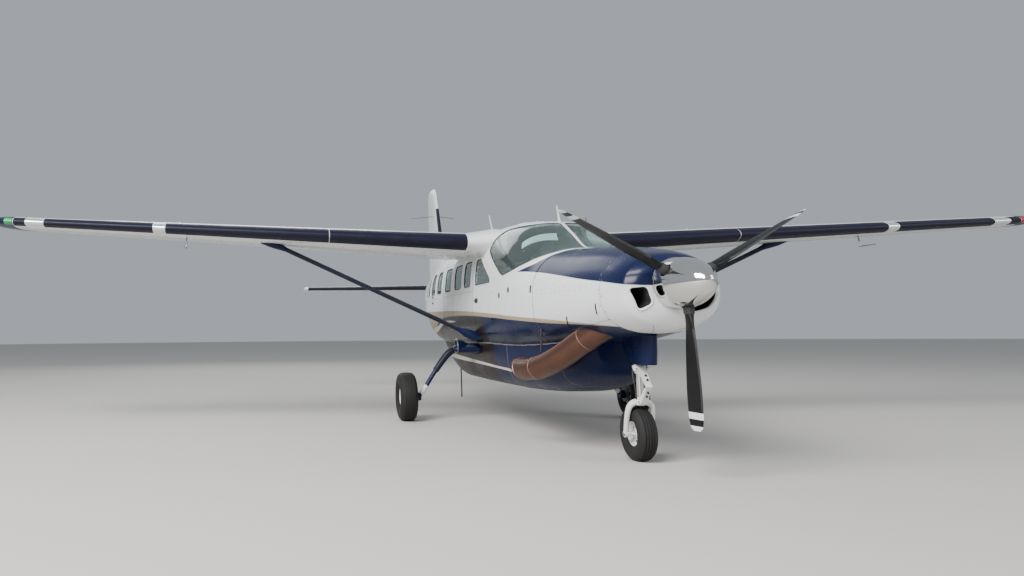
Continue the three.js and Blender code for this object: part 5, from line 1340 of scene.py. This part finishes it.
def pod_skin(stations, outline, holes=()):
    """A skin of the pod's left half."""
    spots, quads = cut_grid(stations, turns_up, outline, holes)
    return walled(pod_point(*spots.T), pod_point(*spots.T, pod_wall), quads)


def pod_loop(station, count, inset=0.0, short=0.0):
    """The pod's section from its right top edge over the keel to the left one."""
    turn = np.linspace(-np.pi / 2, meeting_turn(np.array([station]))[0] - short, count)
    half = pod_point(np.full(count, station), turn, inset)
    return np.vstack([(half * (-1, 1, 1))[::-1], half[1:]])


edge_line = np.stack([stations, meeting_turn(stations)], 1)
below_keel = np.radians(-90.5)
pod_outline = np.vstack([[(pod_start, below_keel), (pod_end, below_keel)], edge_line[::-1]])
left_pod = pod_skin(stations, pod_outline, [pod_cut(*ends, 0.0) for ends in pod_doors.values()])
right_pod = mirrored(pod_skin(stations, pod_outline))
end_forms = []
for station, count, inset, front, back in ((1.9605, 24, 0, 0, 0.012), (8.4195, 24, 0, -0.012, 0),
                                           (4.03, 30, pod_wall - 0.001, -0.008, 0.008),
                                           (5.9, 30, pod_wall - 0.001, -0.008, 0.008)):
    loop = pod_loop(station, count, inset)
    end_forms.append(ring_tube(np.stack([loop + (0, front, 0), loop + (0, back, 0)]), False))
piece("pod_shell", [left_pod, right_pod, *end_forms], pod_paint, "airframe", ["cargo_pod"])
for name, ends in pod_doors.items():
    body = f"pod_door_{name}"
    piece(f"{body}_skin", [pod_skin(np.linspace(*ends, 40), pod_cut(*ends, pod_gap))], pod_paint, body, [body])
    latches = []
    for share in (0.2, 0.8):
        station = np.array(ends[0] + share * (ends[1] - ends[0]))
        x, y = pod_point(station, pod_turn(station, 0.995))[:2]
        latches.append(block((x - 0.004, y - 0.03, 0.975), (x + 0.006, y + 0.03, 1.005), 0.003))
    piece(f"{body}_latches", latches, steel, body)
# sealant bead along the hull, and the seams round the bays
bead_line = pod_point(stations[3:-1], meeting_turn(stations[3:-1]) - 0.004) + (0.003, 0, -0.004)
sealant = material("sealant", (0.42, 0.42, 0.41), (0.3, 0.3, 0.29), rough=(0.5, 0.7), patch=15)
piece("pod_sealant", both_sides(cord(bead_line, 0.006, 8)), sealant, "airframe")
seams = [cord(pod_loop(station, 40, -0.0008, 0.01), 0.0022, 6, upright) for station in (2.45, 4.03, 5.9, 7.3)]
piece("pod_seams", seams, seam_dark, "airframe")

# Cabin interior
# Carpeted floor, a padded glare shield over the instrument panel, two control wheels and a lever pedestal.
# The floor, the bulkheads, the engine and the tail stand keep their plain solids under finishes of their own.
carpet = material("carpet", (0.09, 0.085, 0.08), (0.05, 0.048, 0.046), rough=(0.85, 1.0), patch=40, grain=(500, 0.4))
engine_grey = material("engine_grey", (0.22, 0.22, 0.22), (0.1, 0.1, 0.1), rough=(0.4, 0.7), metal=0.5, patch=12)
for name, finish in (
        ("firewall", hull_paint), ("engine", engine_grey), ("cabin_floor", carpet),
        ("aft_bulkhead", material("zinc_primer", (0.28, 0.3, 0.2), (0.22, 0.24, 0.17), rough=(0.5, 0.7), patch=5)),
        ("instrument_panel",
         material("panel_black", (0.02, 0.02, 0.021), (0.035, 0.035, 0.036), rough=(0.5, 0.7), patch=20)),
        ("tail_stand",
         material("stand_black", (0.02, 0.02, 0.022), (0.04, 0.038, 0.036), rough=(0.4, 0.6), patch=16))):
    bare = bpy.data.objects[name].data
    bare.materials.clear()
    bare.materials.append(finish)

# deck of the glare shield, from the foot of the windscreen to a rounded lip over the panel
deck_rings = []
for station, height in ((2.64, 2.262), (2.9, 2.25), (3.2, 2.232), (3.38, 2.222), (3.425, 2.205), (3.435, 2.188)):
    reach = hull_point(*on_hull([(station, height)]).T)[0, 0] - 0.05
    deck_rings.append([(-reach, aft(station), height), (reach, aft(station), height),
                       (reach, aft(station) - 0.006, height - 0.022), (-reach, aft(station) - 0.006, height - 0.022)])
shield_grey = material("shield_grey", (0.045, 0.045, 0.047), (0.03, 0.03, 0.031), rough=(0.7, 0.9), patch=18,
                       grain=(320, 0.2))
piece("glare_shield", [ring_tube(np.array(deck_rings), False)], shield_grey, "airframe")

panel_y = aft(3.4)
panel_face = panel_y + 0.0005
screen_glass = material("screen_glass", (0.012, 0.016, 0.02), (0.02, 0.026, 0.03), rough=(0.05, 0.12), patch=9)
dial_forms, bezel_forms = [], []
for x in (-0.54, -0.45, -0.27, -0.18, 0.18, 0.27, 0.45, 0.54):
    for height in (1.9, 2.12):
        dial_forms.append(bar((x, panel_face, height), (x, panel_y + 0.006, height), 0.034, 28))
        bezel = [[(x + r * math.cos(t), panel_y + d, height + r * math.sin(t))
                  for r, d in ((0.035, 0.0005), (0.041, 0.0005), (0.039, 0.009), (0.035, 0.009))] for t in circle(28)]
        bezel_forms.append(ring_tube(np.array(bezel), True))
dial_forms += [block((x0, panel_face, low), (x1, panel_y + 0.007, high)) for x0, x1, low, high in (
    (-0.49, -0.23, 1.955, 2.065), (0.23, 0.49, 1.955, 2.065), (-0.1, 0.1, 2.03, 2.15), (-0.09, 0.09, 1.94, 1.99),
    (-0.09, 0.09, 1.87, 1.92))]
piece("panel_screens", dial_forms, screen_glass, "airframe")
piece("panel_bezels", bezel_forms, steel, "airframe")

control_forms = [block((-0.085, panel_face, 1.56), (0.085, aft(3.6), 1.8), 0.02)]
for x in (-0.36, 0.36):
    horn = [(0.15, 3.605, 2.055), (0.168, 3.61, 1.995), (0.12, 3.6, 1.945)]
    wheel = smooth_path([(x - out, aft(station), z) for out, station, z in horn] + [(x, aft(3.59), 1.975)]
                        + [(x + out, aft(station), z) for out, station, z in horn[::-1]], 48)
    control_forms += [bar((x, panel_face, 1.985), (x, aft(3.59), 1.985), 0.013, 20), cord(wheel, 0.014, 14, upright),
                      block((x - 0.035, aft(3.575), 1.955), (x + 0.035, aft(3.605), 2.01), 0.008)]
for x, tilt in ((-0.05, 0.02), (0.0, 0.05), (0.05, 0.03)):
    knob_y = aft(3.5) + tilt
    control_forms += [bar((x, aft(3.5), 1.8), (x, knob_y, 1.88), 0.006, 10),
                      bar((x - 0.012, knob_y, 1.885), (x + 0.012, knob_y, 1.885), 0.012, 14)]
piece("flight_controls", control_forms, handle_black, "airframe")
# headlining of grey cloth under the roof
lining_grey = material("lining_grey", (0.085, 0.082, 0.078), (0.065, 0.063, 0.06), rough=(0.8, 0.95), patch=14,
                       grain=(400, 0.2))
headlining = hull_panel(3.4, 9.33, 40, 90, rectangle(3.4, 9.33, 2.585, 3.2), [grown(screen_line, 0.03)], wall=0.003,
                        lift=-0.0375, cell=0.06)
piece("headlining", both_sides(headlining), lining_grey, "airframe")


def grid_quads(rows, columns):
    """Faces of an even grid of points."""
    index = np.arange(rows * columns).reshape(rows, columns)
    return np.stack([index[:-1, :-1], index[1:, :-1], index[1:, 1:], index[:-1, 1:]], -1).reshape(-1, 4)


# sun visor behind the right half of the windscreen, coloured near white as a painted reflection on the glass: its
# corners are stations and angles in degrees
plate_corners = np.array([(3.33, 47.5), (3.41, 52.5), (3.28, 79.0), (3.09, 74.0)])
u, v = (share[..., None] for share in np.meshgrid(np.linspace(0, 1, 9), np.linspace(0, 1, 13), indexing="ij"))
low_edge = plate_corners[0] + (plate_corners[1] - plate_corners[0]) * u
high_edge = plate_corners[3] + (plate_corners[2] - plate_corners[3]) * u
station, angle = (low_edge + (high_edge - low_edge) * v).reshape(-1, 2).T
plate_faces = [hull_point(station, np.radians(angle), lift) for lift in (-0.04, -0.044)]
# near white, brighter than the hull's paint: painted reflection
visor_reflection_paint = material("visor_painted_reflection", (0.92, 0.98, 0.96), (0.84, 0.95, 0.93), rough=(0.4, 0.5), patch=4)
piece("visor_painted_reflection", [mirrored(outward(*walled(*plate_faces, grid_quads(9, 13))))], visor_reflection_paint, "airframe")

# Seats
# Leather-covered foam on aluminium pans and back shells: two for the crew and two rows of three behind. Each
# cushion and each back is sewn in three panels with piping, and is filled by a short cloth simulation.
seat_grey = material("seat_leather", (0.19, 0.175, 0.155), (0.145, 0.13, 0.115), rough=(0.45, 0.65), patch=9,
                     grain=(420, 0.12))
seat_shell = material("seat_shell", (0.1, 0.1, 0.1), (0.14, 0.14, 0.14), rough=(0.4, 0.6), patch=14)
seat_width = 0.45
# name, x, station, width
seat_places = [("crew_left", 0.36, 4.35, 0.45), ("crew_right", -0.36, 4.35, 0.45)]
seat_rows = (("left", 0.48, 0.43), ("right", -0.44, 0.5))
seat_places += [(f"{side}_{i + 1}", x, station, width) for side, x, width in seat_rows
                for i, station in enumerate((5.25, 6.05, 6.85))]
# half sizes of the unfilled forms, and how far the filling may push a point
pad_sizes = {"cushion": ((0.202, 0.187, 0.044), 0.022), "back": ((0.204, 0.28, 0.028), 0.017)}
voxel, pressure, last_frame = 0.021, 4, 20


def pillow(half, cells=14, power=7.0):
    """A cube's even surface grid moved onto |x/a|^p + |y/b|^p + |z/c|^p = 1."""
    u, v = np.meshgrid(np.linspace(-1, 1, cells + 1), np.linspace(-1, 1, cells + 1), indexing="ij")
    quads = grid_quads(cells + 1, cells + 1)
    points, faces = [], []
    for axis in range(3):
        for way in (1, -1):
            spot = np.stack([np.full(u.shape, float(way)), u, v], -1).reshape(-1, 3)
            points.append(np.roll(spot, axis, 1))
            faces.append((quads if way > 0 else quads[:, ::-1]) + len(faces) * u.size)
    keys, back = np.unique(np.round(np.concatenate(points), 6), axis=0, return_inverse=True)
    reach = (abs(keys) ** power).sum(1) ** (-1 / power)
    return keys * reach[:, None] * half, back.reshape(-1)[np.concatenate(faces)]


def mesh_arrays(mesh):
    """Points and faces of a mesh."""
    spots = np.empty(len(mesh.vertices) * 3)
    mesh.vertices.foreach_get("co", spots)
    return spots.reshape(-1, 3), [tuple(face.vertices) for face in mesh.polygons]


def filled(name, half, most):
    """Points and faces of a pad that a cloth simulation has filled, with no point moved further than a limit."""
    mesh = bpy.data.meshes.new(name)
    points, faces = pillow(half)
    mesh.from_pydata(points.tolist(), [], faces.tolist())
    pad = bpy.data.objects.new(name, mesh)
    bpy.context.collection.objects.link(pad)
    scene, graph = bpy.context.scene, bpy.context.evaluated_depsgraph_get
    remesh = pad.modifiers.new("even", "REMESH")
    remesh.mode, remesh.voxel_size = "VOXEL", voxel
    even = bpy.data.meshes.new_from_object(pad.evaluated_get(graph()))
    pad.modifiers.clear()
    pad.data = even
    before = mesh_arrays(even)[0]
    cloth = pad.modifiers.new("fill", "CLOTH")
    cloth.settings.use_pressure = True
    cloth.settings.uniform_pressure_force = pressure
    cloth.settings.effector_weights.gravity = 0
    cloth.settings.quality = 6
    for step in range(1, last_frame + 1):
        scene.frame_set(step)
    after = mesh_arrays(pad.evaluated_get(graph()).data)[0]
    pad.modifiers.clear()
    scene.frame_set(1)
    move = after - before
    distance = np.maximum(np.linalg.norm(move, axis=1), 1e-9)
    points = before + move * (np.minimum(distance, most) / distance)[:, None]
    pad.data.vertices.foreach_set("co", points.ravel())
    smooth = pad.modifiers.new("smooth", "SUBSURF")
    smooth.levels = smooth.render_levels = 1
    fine = bpy.data.meshes.new_from_object(pad.evaluated_get(graph()))
    bpy.data.objects.remove(pad)
    return mesh_arrays(fine)


def sewn(points, half):
    """Presses two grooves along a pad, exp(-((|x| - w)/d)^2) deep, which part it into three panels."""
    groove = np.exp(-((abs(points[:, 0]) - half[0] * 0.42) / 0.011) ** 2) * 0.007
    return points - np.column_stack([0 * groove, 0 * groove, np.sign(points[:, 2]) * groove])


def piping(points, radius=0.0045):
    """A cord of piping round a pad where it is widest: its reach in 72 directions, evened out."""
    turn = circle(72)
    rim = points[abs(points[:, 2]) < 0.02]
    spot = rim[(rim[:, :2] @ np.stack([np.cos(turn), np.sin(turn)])).argmax(0)]
    spot[:, 2] = 0.012
    spot = (np.roll(spot, 1, 0) + 2 * spot + np.roll(spot, -1, 0)) / 4
    spot = np.vstack([spot, spot[:1]])
    run = np.concatenate([[0], np.cumsum(np.linalg.norm(np.diff(spot, axis=0), axis=1))])
    even = np.linspace(0, run[-1], 120, endpoint=False)
    line = np.stack([np.interp(even, run, spot[:, k]) for k in range(3)], 1)
    side = np.cross(unit(np.roll(line, -1, 0) - np.roll(line, 1, 0)), (0, 0, 1))
    a = circle(8)[None, :, None]
    return ring_tube(line[:, None] + radius * (np.cos(a) * side[:, None] + np.sin(a) * np.array([0, 0, 1.0])), True)


def seat_spot(points, kind, x, station, width):
    """Moves a pad's points into its seat. A back stands up and leans aft by one in seven."""
    points = points * (width / seat_width, 1, 1)
    if kind == "cushion":
        spots = points + (x, aft(station + 0.206), 1.634)
        spots[:, 2] = np.maximum(spots[:, 2], 1.5755)
        return spots
    up, out = points[:, 1] + 0.01, np.minimum(points[:, 2], 0.036)
    return np.stack([x + points[:, 0], aft(station + 0.498) + out + up / 7, 1.95 + up - out / 7], 1)


pads = {}
for name, (half, most) in pad_sizes.items():
    points, faces = filled(f"{name}_form", np.array(half), most)
    pads[name] = sewn(points, half), faces, piping(points)
tube_foot = floor_top + 0.0005
# rise above the middle of a back's shell, and how far its edge is cut in there
shell_rows = ((-0.345, 0.06), (-0.333, 0.03), (-0.3, 0.008), (-0.27, 0.004), (0.0, 0.004), (0.225, 0.004),
              (0.26, 0.012), (0.285, 0.032), (0.297, 0.062))
frames = {"crew_left": [], "crew_right": [], "left": [], "right": []}
for name, x, station, width in seat_places:
    for kind, (points, faces, (cord_points, cord_faces)) in pads.items():
        mesh = bpy.data.meshes.new(f"seat_{kind}_{name}")
        mesh.from_pydata(seat_spot(points, kind, x, station, width).tolist(), [], faces)
        mesh.shade_smooth()
        mesh.materials.append(seat_grey)
        pad = bpy.data.objects.new(f"seat_{kind}_{name}", mesh)
        bpy.context.collection.objects.link(pad)
        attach(pad, "airframe")
        piece(f"seat_{kind}_piping_{name}", [(seat_spot(cord_points, kind, x, station, width), cord_faces)], seat_shell,
              "airframe")
    left, right = x - width / 2 + 0.012, x + width / 2 - 0.012
    shell = [[(edge, aft(station + 0.54 + rise / 7 + out), 1.95 + rise) for edge, out in
              ((left + cut, -0.004), (right - cut, -0.004), (right - cut, 0.004), (left + cut, 0.004))]
             for rise, cut in shell_rows]
    forms = frames[name if name.startswith("crew") else name.split("_")[0]]
    forms += [block((left, aft(station + 0.01), 1.56), (right, aft(station + 0.43), 1.575), 0.03),
              ring_tube(np.array(shell), False)]
    for edge in (left + 0.063, right - 0.063):
        forms += [bar((edge, aft(station + start), low), (edge, aft(station + end), high), radius, sides)
                  for start, low, end, high, radius, sides in (
                      (0.085, tube_foot, 0.085, 1.5605, 0.013, 16), (0.385, tube_foot, 0.385, 1.5605, 0.013, 16),
                      (0.085, 1.33, 0.385, 1.54, 0.008, 12), (0.4, 1.566, 0.492, 1.64, 0.012, 12))]
for side, x, width in seat_rows:
    frames[side] += [block((at - 0.02, aft(5.25), tube_foot), (at + 0.02, aft(7.33), tube_foot + 0.021), 0.006)
                     for at in (x - width / 2 + 0.075, x + width / 2 - 0.075)]
for name, forms in frames.items():
    node = f"crew_seat_{name[5:]}" if name.startswith("crew") else f"passenger_seats_{name}"
    piece(f"seat_frames_{name}", forms, seat_shell, "airframe", [node])

# Panel seams and fasteners
# Lap seams of the skin panels, drawn as thin dark sealant lines, with rows of small flush rivets beside them,
# quarter-turn screws round the nose bowl and along the cowl's split line.
def hull_path(points, step=0.03):
    """Stations and angles, and the points on the hull, along a line of stations and angles in degrees."""
    line = np.asarray(points, float) * (1, np.pi / 180)
    runs = []
    for a, b in zip(line[:-1], line[1:]):
        count = max(1, int(np.hypot(b[0] - a[0], b[1] - a[1]) / step))
        runs.append(a + (b - a) * (np.arange(count) / count)[:, None])
    line = np.vstack([*runs, line[-1:]])
    return line, hull_point(*line.T)


def hull_normal(line):
    """Outward direction of the hull at stations and angles, from two small steps along it."""
    here, small = hull_point(*line.T), 1e-4
    return unit(np.cross(hull_point(*(line + (0, small)).T) - here, hull_point(*(line + (small, 0)).T) - here))


def studs(spots, outwards, radius, rise, sides=6):
    """Many low round heads as one closed form: each sinks 1 mm into the skin and stands out by a rise."""
    side = unit(np.cross(outwards, (0.577, 0.577, -0.577)))
    turn = circle(sides)[None, :, None]
    ring = np.cos(turn) * side[:, None] + np.sin(turn) * np.cross(outwards, side)[:, None]
    points = np.stack([spots[:, None] + ring * r + outwards[:, None] * h
                       for r, h in ((radius, -0.001), (radius * 0.85, rise))], 1).reshape(-1, 3)
    index = np.arange(len(points)).reshape(len(spots), 2, sides)
    around = np.roll(index, -1, 2)
    walls = np.stack([index[:, :-1], around[:, :-1], around[:, 1:], index[:, 1:]], -1).reshape(-1, 4)
    return points, [walls, index[:, 1], index[:, 0, ::-1]]


def rivet_row(points, pitch, offset=0.0, radius=0.0032, rise=0.0007):
    """Rivets along a line of stations and angles in degrees, at even distances."""
    line, path = hull_path(points, 0.01)
    run = np.concatenate([[0], np.cumsum(np.linalg.norm(np.diff(path, axis=0), axis=1))])
    even = np.arange(pitch / 2 + offset, run[-1], pitch)
    spots = np.stack([np.interp(even, run, line[:, 0]), np.interp(even, run, line[:, 1])], 1)
    return studs(hull_point(*spots.T), hull_normal(spots), radius, rise)


def at_height(points):
    """Stations and heights as stations and angles in degrees."""
    return on_hull(points) * (1, 180 / np.pi)


def around(station, first, last):
    """A line round the hull at a station, with a point each four degrees."""
    return [(station, angle) for angle in range(first, last, 4)]


seam_line = material("seam_line", (0.035, 0.035, 0.035), (0.06, 0.06, 0.06), rough=(0.6, 0.8), patch=20)
rivet_grey = material("rivet_grey", (0.46, 0.46, 0.46), (0.34, 0.34, 0.34), rough=(0.3, 0.5), metal=0.3, patch=24)
# lines that show the panel joints: the bowl, the firewall, the cowl's lower joint and the cabin's skins
seam_runs = [around(1.02, -88, 90), around(2.552, -40, 89), at_height([(1.02, 1.46), (1.21, 1.437), (1.9, 1.35)]),
             [(0.72, -60), (0.86, -72), (1.02, -80)]]
rivet_runs = []
for station in (5.1, 6.44, 7.18, 10.1, 10.8, 11.45):
    seam_runs.append(around(station, -44 if station < 9 else -84, 75))
    rivet_runs += [np.array(seam_runs[-1]) + (shift, 0) for shift in (-0.013, 0.013)]
for height, start, end, lapped in ((1.95, 5.1, 7.18, True), (2.475, 5.1, 7.18, True), (2.475, 8.6, 9.3, True),
                                   (1.95, 8.6, 11.45, True), (1.4, 5.1, 7.18, True), (1.66, 5.1, 7.18, False)):
    line = at_height([(station, height) for station in np.arange(start, end, 0.2)] + [(end, height)])
    seam_runs += [line] if lapped else []
    rivet_runs += [line + (0, shift) for shift in (-0.9, 0.9)]
rivet_runs += [at_height([(s, z) for z in np.arange(1.36, 1.96, 0.1)]) for s in (5.36, 5.62, 5.9, 6.16, 6.72, 6.98)]
rivet_runs += [around(2.575, -40, 89), around(1.045, -80, 89), around(2.525, -80, 89)]
seams = [cord(hull_path(run, 0.06)[1], 0.0018, 6, (0.6, 0.4, 0.69)) for run in seam_runs]
rivets = [rivet_row(run, 0.036) for run in rivet_runs]
screws = [rivet_row(around(0.998, -84, 88), 0.16, 0.0, 0.0085, 0.0012),
          rivet_row(around(1.044, -84, 88), 0.16, 0.08, 0.0085, 0.0012),
          rivet_row(at_height([(1.1, 1.82), (2.48, 1.822)]), 0.115, 0.0, 0.007, 0.0012),
          rivet_row(at_height([(1.1, 1.778), (2.48, 1.776)]), 0.115, 0.0, 0.007, 0.0012)]
flank_slot = hull_panel(2.59 - 0.01, 2.63 + 0.01, -80, 60, rectangle(2.59, 2.63, 1.805, 1.893, 0.006),
                        wall=0.004, lift=0.0024, cell=0.006)
cowl_slots = [ring_tube(swept(hull_path(at_height(line), 0.02)[1], 0.012, 0.004, 10, upright), False)
              for line in ([(1.75, 1.504), (1.84, 1.386)], [(1.11, 1.622), (1.15, 1.515)])]
for name, forms, finish, slot in (
        ("hull_seams", seams, seam_line, "black"), ("hull_rivets", rivets, rivet_grey, "grey"),
        ("cowl_screws", screws, steel, "grey"), ("flank_slots", [flank_slot], handle_black, "black"),
        ("cowl_slots", cowl_slots, handle_black, "black")):
    piece(name, both_sides(*forms), finish, "airframe")

# Aerials, probes, lights and small fittings
# Blade aerials and pucks on the roof, a V of rods on the fin, pitot and angle probes, lamps at the wing tips,
# static wicks on the trailing edges, drain tubes under the cowl and the fuel caps on the wings.
aerial_white = material("aerial_white", (0.72, 0.72, 0.71), (0.62, 0.62, 0.61), rough=(0.3, 0.5), patch=20)


def blade_aerial(foot, tip, bottom, top, thick):
    """A blade aerial on the centreline: an upright fin, thinner and swept aft towards its top."""
    rings = []
    for front, back, height, wide in ((*foot, bottom, thick), (*tip, top - 0.012, thick * 0.5),
                                      (tip[0] + 0.012, tip[1] - 0.012, top, thick * 0.25)):
        run = np.linspace(0, 1, 13)
        half = wide / 2 * np.sin(np.pi * np.sqrt(run)) ** 0.8
        half[[0, -1]] = 0.0008
        spot = aft(front + (back - front) * run)
        rings.append(np.concatenate([np.column_stack([half, spot, 0 * run + height]),
                                     np.column_stack([-half[::-1], spot[::-1], 0 * run + height])]))
    return ring_tube(np.stack(rings), False)


def hull_spot(line, way):
    """Point of the hull and the way out of it at one station and angle, on the left (1) or right (-1) side."""
    return hull_point(*line.T)[0] * (way, 1, 1), hull_normal(line)[0] * (way, 1, 1)


def roof_spot(station, x):
    """Point of the roof at a distance left of the centreline, and the way out of it."""
    angles = np.radians(np.linspace(40, 90, 501))
    across = hull_point(station + 0 * angles, angles)[:, 0]
    return hull_spot(np.array([[station, angles[abs(across - abs(x)).argmin()]]]), 1 if x > 0 else -1)


aerials = [blade_aerial((3.56, 3.66), (3.665, 3.7), 2.765, 3.03, 0.014),
           blade_aerial((6.7, 6.86), (7.06, 7.11), 2.86, 3.4, 0.018)]
for station, x, radius, rise in ((4.11, -0.343, 0.06, 0.016), (3.84, -0.225, 0.02, 0.062), (3.74, -0.185, 0.02, 0.062),
                                 (5.3, -0.2, 0.055, 0.02)):
    spot, way = roof_spot(station, x)
    aerials.append(bar(spot - way * 0.006, spot + way * rise, radius, 32, radius * 0.8))
piece("aerials", aerials, aerial_white, "airframe")
spot, way = roof_spot(3.95, 0.5)
whips = [bar(spot - way * 0.006, spot + way * 0.02, 0.014, 16), bar(spot, spot + (0.01, 0.035, 0.15), 0.0055, 10)]
whips += [bar((side * 0.02, aft(11.76), 4.05), (side * 0.52, aft(12.12), 4.05), 0.0065, 12, 0.004)
          for side in (1, -1)]  # navigation aerial: two rods swept aft on the fin
whips += [bar((x, aft(station), z), (x - 0.008, aft(station) + 0.012, end), 0.011, 14)
          for x, station, z, end in ((-0.69, 2.47, 1.385, 1.285), (-0.66, 2.58, 1.25, 1.1),
                                     (-0.3, 2.3, 1.18, 1.0))]
piece("whip_aerials", whips, handle_black, "airframe")

# probes on both flanks and the pitot heads under the wings
probe_forms = []
for station, height, out in ((3.7, 1.822, 0.06), (3.33, 1.877, 0.022)):
    spot, way = hull_spot(on_hull([(station, height)]), 1)
    end = spot + way * out
    probe_forms += [bar(spot - way * 0.003, spot + way * 0.006, 0.038, 28, 0.034), bar(spot, end, 0.013, 16),
                    bar(end + (0, -0.045, 0), end + (0, 0.035, 0), 0.011, 16)]
foot = wing_point(5.1, np.array([0.2]), -1)[0]
probe_forms += [bar(foot + (0, 0, 0.01), foot + (0, -0.04, -0.16), 0.012, 16),
                bar(foot + (0, -0.02, -0.16), foot + (0, -0.36, -0.16), 0.01, 16, 0.007)]
piece("probes", both_sides(*probe_forms), steel, "airframe")

# position lamps, fuel caps and static wicks
lens_red = material("lens_red", (0.5, 0.012, 0.01), (0.36, 0.008, 0.008), rough=(0.08, 0.16), patch=30)
lens_green = material("lens_green", (0.01, 0.36, 0.1), (0.008, 0.26, 0.07), rough=(0.08, 0.16), patch=30)
tip_lens = edge_band(wing_point, 0.05, 0.003, np.linspace(7.59, 7.7, 3))
piece("lens_left", [tip_lens], lens_red, "airframe")
piece("lens_right", [mirrored(tip_lens)], lens_green, "airframe")
caps = []
for x in (2.45, 5.2):
    spot = wing_point(x, np.array([0.24]), 1)[0]
    caps += [bar(spot - (0, 0, 0.004), spot + (0, 0, 0.006), 0.052, 36, 0.048),
             bar(spot + (0, -0.03, 0.01), spot + (0, 0.03, 0.01), 0.006, 10)]
piece("fuel_caps", both_sides(*caps), steel, "airframe")
for stem, point, reach, stops in (("aileron", wing_point, (0, 0.115, -0.002), (5.75, 6.35, 6.95)),
                                  ("elevator", plane_point, (0, 0.095, 0), (1.9, 2.5, 2.95))):
    ends = [point(x, np.array([0.997]), 1)[0] for x in stops]
    wicks = [bar(end, end + reach, 0.0035, 8, 0.002) for end in ends]
    side_pieces((stem + "_{}_wicks", wicks, handle_black, "black", stem + "_{}"))
